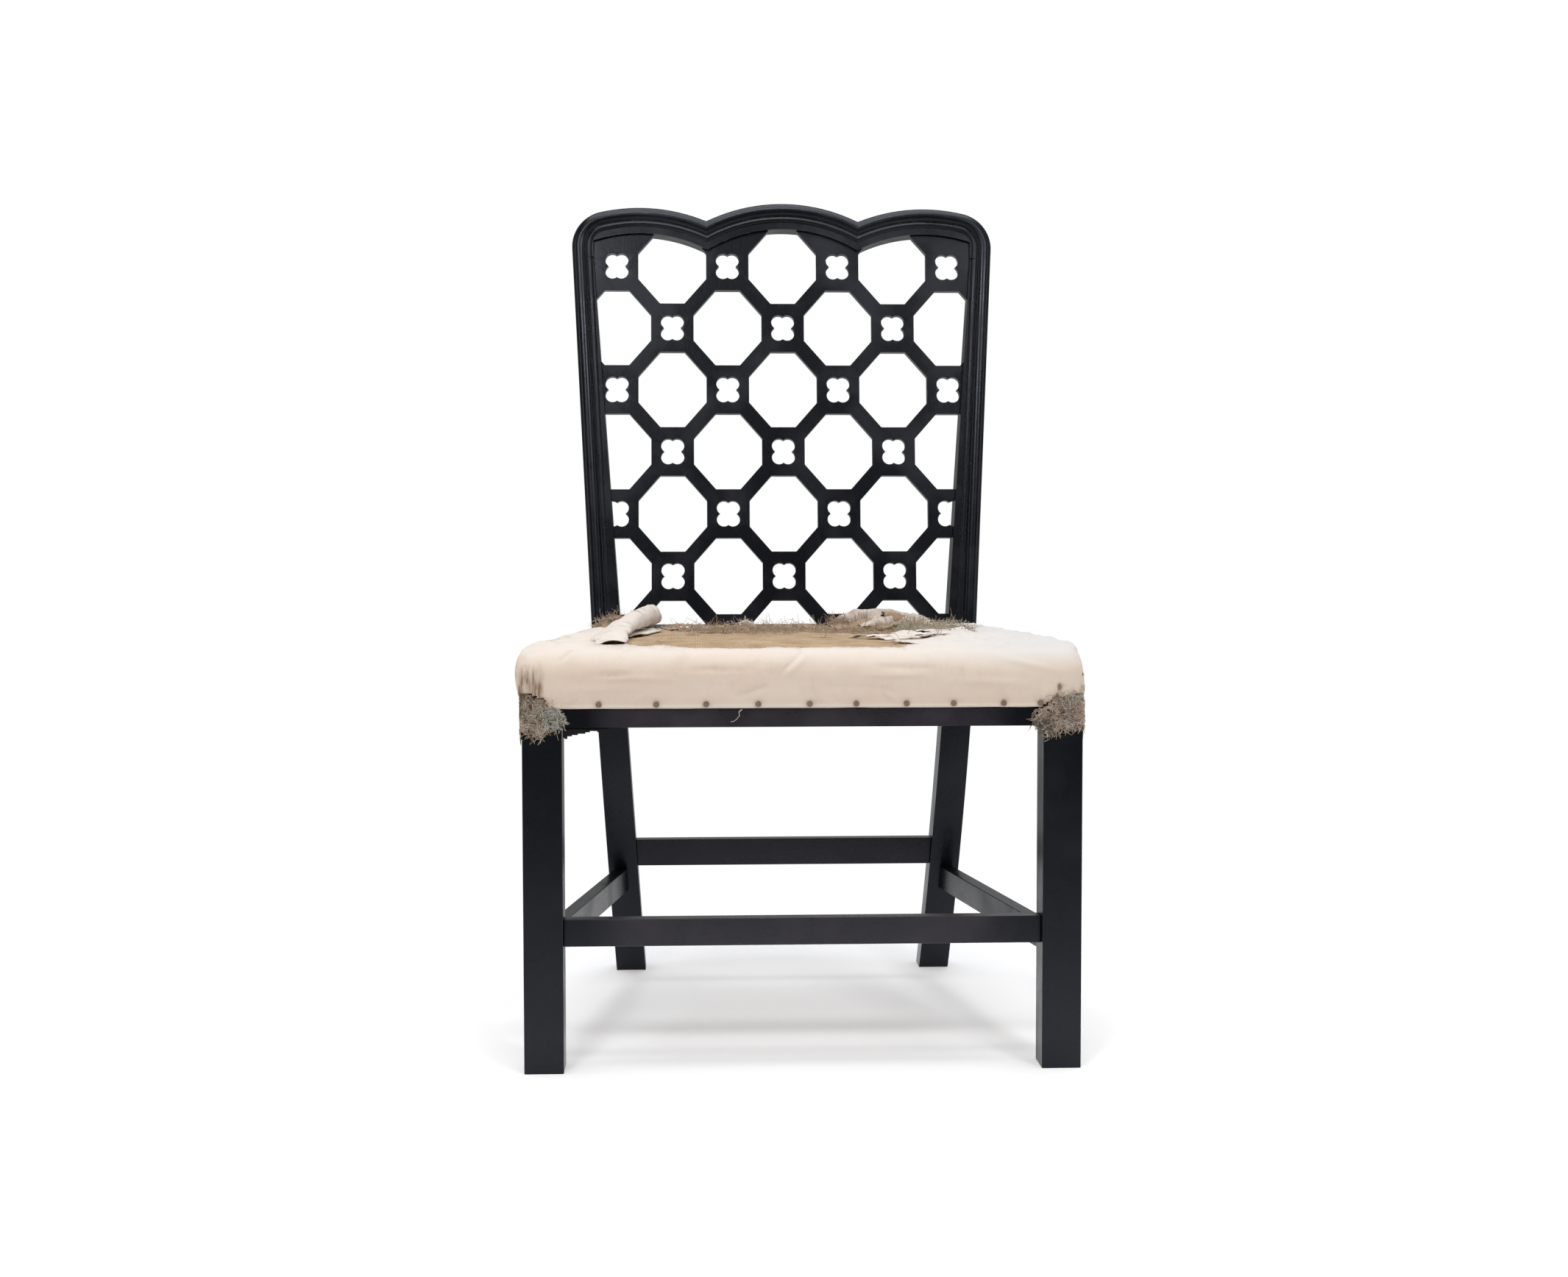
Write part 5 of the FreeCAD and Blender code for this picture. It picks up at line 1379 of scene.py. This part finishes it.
seat_z = seat_top - 0.4 * MM
left_path = [(-0.228, -0.236, seat_z - 2.5 * MM, 0.007), (-0.227, -0.150, seat_z, 0.013),
             (-0.224, -0.060, seat_z, 0.018), (-0.215, 0.030, seat_z, 0.023),
             (-0.204, 0.095, seat_z, 0.027), (-0.196, 0.144, seat_z, 0.029)]
folded_strip("rolled_flap_left", left_path, PRESSED, 50 * MM, 101, calico_rag, 1.5 * MM,
             node="calico_flap_left")
right_path = [(0.205, -0.060, seat_z, 0.010), (0.170, -0.090, seat_z, 0.009),
              (0.130, -0.130, seat_z, 0.007), (0.092, -0.165, seat_z, 0.005)]
folded_strip("ragged_flap_right", right_path, LAID, 60 * MM, 121, calico_rag, 2.4 * MM,
             slit=0.06, node="calico_flap_right")

# %% [markdown]
# ## The heap at the back
# Behind the opening lies torn calico and brown scrim. Five crumpled strips on one another make
# the heap at the right: a long low one, a rolled one on top, and three short folds. Four more lie
# along the shoe to the left. They differ only in numbers, so one table lists them, and one loop
# makes them in the table's order.

# %% Pile the heap
heap_z = seat_z - 0.5 * MM
# Name, section, width, seed, cloth, crumple, what else it needs, and the path, whose points give
# across and deep in metres, millimetres above heap_z, and height in metres
HEAP_STRIPS = [
    ("heap_scrim", LAID, 46, 141, hessian_brown, 4.2, {},
     [(0.048, 0.118, 0, 0.007), (0.090, 0.128, 0, 0.013), (0.150, 0.126, 0, 0.012),
      (0.205, 0.112, 0, 0.007)]),
    ("heap_calico", FOLDED, 26, 161, calico_soiled, 6.0,
     {"side": -1, "slit": 0.08, "node": "torn_heap", "grime": 0.45},
     [(0.062, 0.128, 0, 0.008), (0.084, 0.130, 3, 0.016), (0.112, 0.130, 4, 0.018),
      (0.140, 0.124, 3, 0.014), (0.174, 0.110, 0, 0.007)]),
    ("heap_fold", FOLDED, 17, 181, calico_rag, 4.2, {"grime": 0.46},
     [(0.080, 0.094, 0, 0.007), (0.098, 0.104, 1, 0.012), (0.126, 0.112, 2, 0.015)]),
    ("heap_ridge", FOLDED, 12, 251, calico_soiled, 3.4, {"grime": 0.55},
     [(0.066, 0.112, 0, 0.008), (0.078, 0.122, 3, 0.015), (0.094, 0.134, 6, 0.017)]),
    ("heap_brown_fold", FOLDED, 18, 191, hessian_brown, 3.5, {"slit": 0.05},
     [(0.112, 0.140, 3, 0.017), (0.140, 0.142, 4, 0.014), (0.176, 0.134, 2, 0.008)]),
    ("rear_scrim", LAID, 30, 221, hessian_brown, 5.0, {"slit": 0.07},
     [(-0.158, 0.132, -4, 0.008), (-0.110, 0.142, -4, 0.010), (-0.060, 0.138, -4, 0.009),
      (-0.010, 0.144, -4, 0.011), (0.058, 0.136, -4, 0.009)]),
    ("rear_rag", LAID, 24, 231, calico_soiled, 3.0, {"slit": 0.06},
     [(-0.150, 0.120, -2, 0.005), (-0.120, 0.128, -2, 0.007), (-0.088, 0.122, -2, 0.004)]),
    ("post_rag", LAID, 15, 271, hessian_brown, 3.5, {"slit": 0.05},
     [(-0.231, 0.146, -3, 0.016), (-0.218, 0.148, -2, 0.012), (-0.203, 0.146, -3, 0.006)]),
    ("rear_scrap", FOLDED, 14, 261, calico_rag, 2.4, {},
     [(-0.062, 0.138, -1, 0.007), (-0.050, 0.140, 0, 0.012), (-0.034, 0.138, -2, 0.006)]),
]
for name, section, width, seed, material, crumple, more, places in HEAP_STRIPS:
    path = [(x, y, heap_z + up * MM, high) for x, y, up, high in places]
    folded_strip(name, path, section, width * MM, seed, material, crumple * MM, **more)

# %% [markdown]
# ## Loose fibre
# The pad's fibre works up through the torn hessian: brown in the middle and grey-green at the
# right. A real pad has more hairs than a scene should carry, so each mat has a few hundred to a
# few thousand coarse strands, long enough to cross one another. They start on the pad or a little
# above it. The mats differ only in numbers and material, so a table lists them.

# %% Scatter mats of fibre
def fibre_mat(name, outline, count, material, slot, seed, length, rise, thickness, drop):
    """Strands in curled locks: each lock has its own middle, and its strands wind round it."""
    dice = random.Random(seed)
    corners = np.array(outline)
    low, high = corners.min(axis=0), corners.max(axis=0)
    strands = []
    while len(strands) < count:
        middle = np.array([[dice.uniform(low[0], high[0]), dice.uniform(low[1], high[1])]])
        if outline_distance(middle, corners)[0] > 0:
            continue
        spread = dice.uniform(2, 7) * MM
        turn = dice.uniform(0, 2 * math.pi)
        for _ in range(dice.randint(8, 26)):
            place = middle + np.array([[dice.gauss(0, 1), dice.gauss(0, 1)]]) * spread
            ground = seat_height(place, drop)[0]
            angle = turn + dice.gauss(0, 0.9)
            start = (place[0][0], place[0][1], ground + rise * dice.random())
            heading = (math.cos(angle), math.sin(angle), dice.gauss(0, 0.12))
            run = length * (0.4 + dice.random())
            strands.append(curl(dice, start, heading, run, 8, 0.8, 0.25, ground))
    threads(name, strands, thickness, material)


brown_area = plan_outline(HESSIAN_TEAR_SHARES) * [0.93, 0.93]
green_area = [(0.128, -0.040), (0.185, -0.090), (0.212, -0.020), (0.208, 0.105),
              (0.140, 0.132), (0.130, 0.030)]
back_area = [(-0.150, 0.095), (0.040, 0.090), (0.045, 0.150), (-0.150, 0.152)]
heap_area = [(0.056, 0.104), (0.078, 0.100), (0.084, 0.136), (0.056, 0.136)]
post_area = [(-0.231, 0.140), (-0.204, 0.140), (-0.206, 0.160), (-0.229, 0.160)]
lump_area = [(-0.062, 0.128), (-0.046, 0.128), (-0.046, 0.142), (-0.062, 0.142)]
# Name, outline, count, material, slot, seed, and in millimetres the strands' length, rise and
# thickness and the depth of their lowest start under the form of the seat
MATS = [
    ("brown_fibre", brown_area, 1700, fibre_brown, "stuffing", 201, 17, 3, 0.6, 2.0),
    ("hessian_threads", brown_area, 420, thread_tan, "hessian", 217, 15, 1, 0.5, -0.4),
    ("grey_fibre", green_area, 2600, fibre, "stuffing", 203, 13, 9, 0.9, 2.0),
    ("back_fibre", back_area, 1300, fibre_brown, "stuffing", 205, 5.5, 4, 0.8, 2.0),
    ("heap_fluff", heap_area, 420, fibre_brown, "stuffing", 209, 11, 13, 0.7, 2.0),
    ("post_fluff", post_area, 520, fibre_brown, "stuffing", 215, 13, 20, 0.7, 2.0),
    ("pale_lump", lump_area, 160, thread_pale, "hessian", 207, 9, 9, 0.8, 2.0),
]
for name, outline, count, material, slot, seed, *sizes in MATS:
    fibre_mat(name, outline, count, material, slot, seed, *[size * MM for size in sizes])


# %% Drop a few scraps and long threads
SCRAP_PLACES = [
    (-0.060, 0.120), (-0.052, 0.118), (0.000, 0.100), (-0.205, 0.120), (-0.215, 0.112),
    (0.030, -0.120), (0.080, 0.020), (-0.120, -0.050), (0.100, -0.200), (-0.150, -0.180),
    (-0.030, -0.020), (0.060, 0.080), (0.200, 0.060), (-0.090, 0.060), (0.150, -0.150),
]


def scraps():
    """Five threads at each of the places."""
    dice = random.Random(211)
    strands = []
    for x, y in SCRAP_PLACES:
        ground = float(seat_height(np.array([[x, y]]), 0.0)[0])
        for _ in range(5):
            angle = dice.uniform(0, 2 * math.pi)
            heading = (math.cos(angle), math.sin(angle), dice.uniform(0.1, 0.7))
            run = dice.uniform(12, 34) * MM
            strands.append(curl(dice, (x, y, ground), heading, run, 10, 0.55, 0.2, ground))
    threads("long_threads", strands, 0.7 * MM, thread_tan)


scraps()

# %% [markdown]
# ## Frayed corners
# At each front corner the calico has torn away, and a rag of hessian hangs over the top of the
# leg with fibre matted into it. The rag is a sheet bent round the leg's corner, with upright
# folds and an eaten lower edge. Strands grow from it in all directions, because a bare rag looks
# like folded paper.

# %% Hang the corner rags
def around_corner(side, along, out, z):
    """A place near a front leg's corner: along is run from the arris, less than 0 on the front."""
    rounding = out * 0.35 * math.exp(-abs(along) / 0.006)
    if along < 0:
        return np.array([side * (leg_out + along + rounding), front_y - out, z])
    return np.array([side * (leg_out + out), front_y + along - rounding, z])


# Outlines in millimetres, along and up
LEFT_RAG = [(-4, 398), (-14, 397), (-24, 391), (-33, 382), (-42, 376), (-43, 364), (-36, 361),
            (-27, 356), (-20, 350), (-8, 354), (0, 351), (12, 350), (28, 354), (44, 358),
            (52, 366), (44, 376), (28, 386), (12, 397)]
RIGHT_RAG = [(-4, 400), (-16, 400), (-26, 395), (-36, 386), (-44, 377), (-50, 369), (-48, 358),
             (-38, 351), (-30, 354), (-22, 358), (-8, 359), (0, 358), (12, 356), (28, 356),
             (42, 360), (50, 368), (42, 376), (28, 388), (12, 399)]
FLUFF_REACH = (4.0 * MM, 8.0 * MM)
SIDE_SHARE = {-1: 0.5, 1: 0.3}


def corner_rag(side, name, node, seed, outline):
    """A rag of hessian bent round the top of a front leg."""
    shape = np.array(outline) * MM
    alongs = np.linspace(shape[:, 0].min() - 4 * MM, shape[:, 0].max() + 4 * MM, 64)
    heights = np.linspace(shape[:, 1].max() + 3 * MM, shape[:, 1].min() - 4 * MM, 48)
    points, flat = [], []
    for along in alongs:
        for z in heights:
            key = Vector((along, z * 0.4, seed))
            fold = 1 - abs(noise.noise(key / 0.008)) * 2.4
            below = min(1.0, max(0.0, (hem_z + 8 * MM - z) / (18 * MM)))
            broad = max(0.0, noise.noise(key / 0.017))
            out = 0.9 + below * (1.2 + 1.2 * max(0.0, fold) + 1.6 * broad)
            out *= SIDE_SHARE[side] if along > 0 else 1.0
            points.append(around_corner(side, along, out * MM, z))
            flat.append((along, z))
    points, flat = np.array(points), np.array(flat)
    local = on_plane(flat, seed * 0.1)
    faces = grid_faces(len(alongs), len(heights))
    ragged = (5.0 * lumps(local, 11 * MM, seed) + 2.6 * lumps(local, 4 * MM, seed + 1)) * MM
    gap = -outline_distance(flat, shape) + ragged
    hole = np.abs(lumps(local * [1, 0.5, 1], 10 * MM, seed + 2)) * 30 * MM - 1.6 * MM
    kept = np.minimum(gap, hole)[faces].mean(axis=1) > 0
    points, faces, (flat,) = compacted(points, faces[kept], flat)
    if side < 0:
        faces = faces[:, ::-1]
    rag = soft_piece(name, points, faces, hessian_grey, flat, 0.8 * MM, levels=1)
    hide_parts(node)
    return points


def kept_near_leg(side, point):
    """Push a place off the leg, and draw it in where it strays too far."""
    aside, before = abs(point.x) - leg_out, front_y - point.y
    if aside < 0.5 * MM and before < 0.5 * MM:
        if aside > before:
            aside = 0.5 * MM
        else:
            before = 0.5 * MM
    aside = min(aside, FLUFF_REACH[0] * SIDE_SHARE[side])
    before = min(before, FLUFF_REACH[1])
    return Vector((side * (leg_out + aside), front_y - before, point.z))


def corner_fluff(side, name, rag_points, count, seed, material, thickness, length, wander=0.9,
                 band=(0.0, 1.0), patch=None, spot=None):
    """Locks of curly strands on the rag, in a band of heights, in patches or near a spot."""
    dice = random.Random(seed)
    strands = []
    while len(strands) < count:
        place = rag_points[dice.randrange(len(rag_points))]
        tone = noise.noise(Vector(place) / 0.009)
        if not band[0] < place[2] < band[1] or (patch and not patch[0] < tone < patch[1]):
            continue
        if spot and math.hypot(abs(place[0]) - leg_out - spot[0], place[2] - spot[1]) > spot[2]:
            continue
        turn = Vector((dice.gauss(0, 1), dice.gauss(0, 0.6), dice.gauss(-0.5, 1)))
        for _ in range(dice.randint(3, 10)):
            start = Vector(place) + any_way(dice) * 1.6 * MM
            heading = turn + any_way(dice, 0.5)
            strand = curl(dice, start, heading, length * (0.4 + dice.random()), 8, wander, 0.15)
            strands.append([kept_near_leg(side, point) for point in strand])
    threads(name, strands, thickness, material)


rag_points_of = {}
for side, word, seed, outline in ((-1, "left", 5, LEFT_RAG), (1, "right", 9, RIGHT_RAG)):
    rag_points = corner_rag(side, f"corner_rag_{word}", f"corner_tuft_{word}", seed, outline)
    rag_points_of[side] = rag_points
    tuft, dark_count = (tuft_fibre, 240) if side < 0 else (tuft_pale, 130)
    corner_fluff(side, f"corner_fibre_{word}", rag_points, 760, 300 + seed, tuft, 0.9 * MM,
                 9 * MM, band=(0.0, 0.397))
    corner_fluff(side, f"corner_fluff_{word}", rag_points, 330, 320 + seed, thread_pale, 1.0 * MM,
                 7 * MM, band=(0.352, 0.386), patch=(0.10, 1.0))
    corner_fluff(side, f"corner_dark_{word}", rag_points, dark_count, 360 + seed, fibre_dark,
                 0.9 * MM, 8 * MM, patch=(-1.0, -0.12))
    corner_fluff(side, f"corner_strands_{word}", rag_points, 130, 340 + seed, fibre_brown,
                 0.9 * MM, 15 * MM, 0.4, band=(0.350, 0.40))

# Side, name, count, seed, material, and the spot: across from the arris, up and reach in metres
CORNER_SPOTS = [
    (-1, "corner_green_left", 330, 381, fluff_green, (-0.033, 0.371, 0.011)),
    (1, "corner_pink_right", 420, 383, fluff_pink, (-0.010, 0.367, 0.013)),
    (1, "corner_cream_right", 360, 387, thread_pale, (-0.013, 0.398, 0.013)),
    (1, "corner_olive_right", 240, 385, fluff_olive, (-0.042, 0.359, 0.009)),
]
for side, name, count, seed, material, spot in CORNER_SPOTS:
    corner_fluff(side, name, rag_points_of[side], count, seed, material, 1.0 * MM, 7 * MM,
                 spot=spot)

# %% [markdown]
# ## Small remains
# A shred of the black cloth that once closed the seat from below still hangs under the front
# rail, and one pale thread lies over the rail.

# %% Hang the black shred and the stray thread
SHRED_WIDTH = 24 * MM
SHRED_FOLD = 0.45


def black_shred():
    """Cloth that runs back under the rail and then hangs, and tapers to the right."""
    low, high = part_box("bottom_cloth_remnant")
    points, flat = [], []
    acrosses = np.linspace(low.x, high.x, 40)
    for x in acrosses:
        for share in np.linspace(0, 1, 16):
            back = min(share / SHRED_FOLD, 1.0)
            down = max(0.0, (share - SHRED_FOLD) / (1 - SHRED_FOLD))
            wave = 1.5 * MM * noise.noise(Vector((x, share * 0.02, 3)) / 0.012)
            y = high.y - (high.y - low.y - 2 * MM) * back + wave
            z = high.z - 0.6 * MM - 11 * MM * down
            points.append((x, y, z))
            flat.append((x, share * SHRED_WIDTH))
    points, flat = np.array(points), np.array(flat)
    local = on_plane(flat)
    faces = grid_faces(len(acrosses), 16)
    fade = (flat[:, 0] - low.x) / (high.x - low.x)
    gap = SHRED_WIDTH * (0.92 - 0.55 * fade) - flat[:, 1]
    gap = gap + 4 * MM * lumps(local, 9 * MM, 51) + 2 * MM * lumps(local, 3 * MM, 52)
    kept = gap[faces].mean(axis=1) > 0
    points, faces, (flat,) = compacted(points, faces[kept], flat)
    shred = soft_piece("black_cloth_shred", points, faces, black_cloth, flat,
                       0.6 * MM)
    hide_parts("bottom_cloth_remnant")


black_shred()
stray = [(-64, 378.5), (-67, 376), (-66.5, 372), (-69, 368.5), (-72.5, 366), (-75.5, 365.6)]
stray_line = []
for x, z in stray:
    before = 1.2 if z < 376 else 3.4
    stray_line.append(Vector((x * MM, front_y - before * MM, z * MM)))
threads("stray_thread", [stray_line], 1.1 * MM, thread_pale)
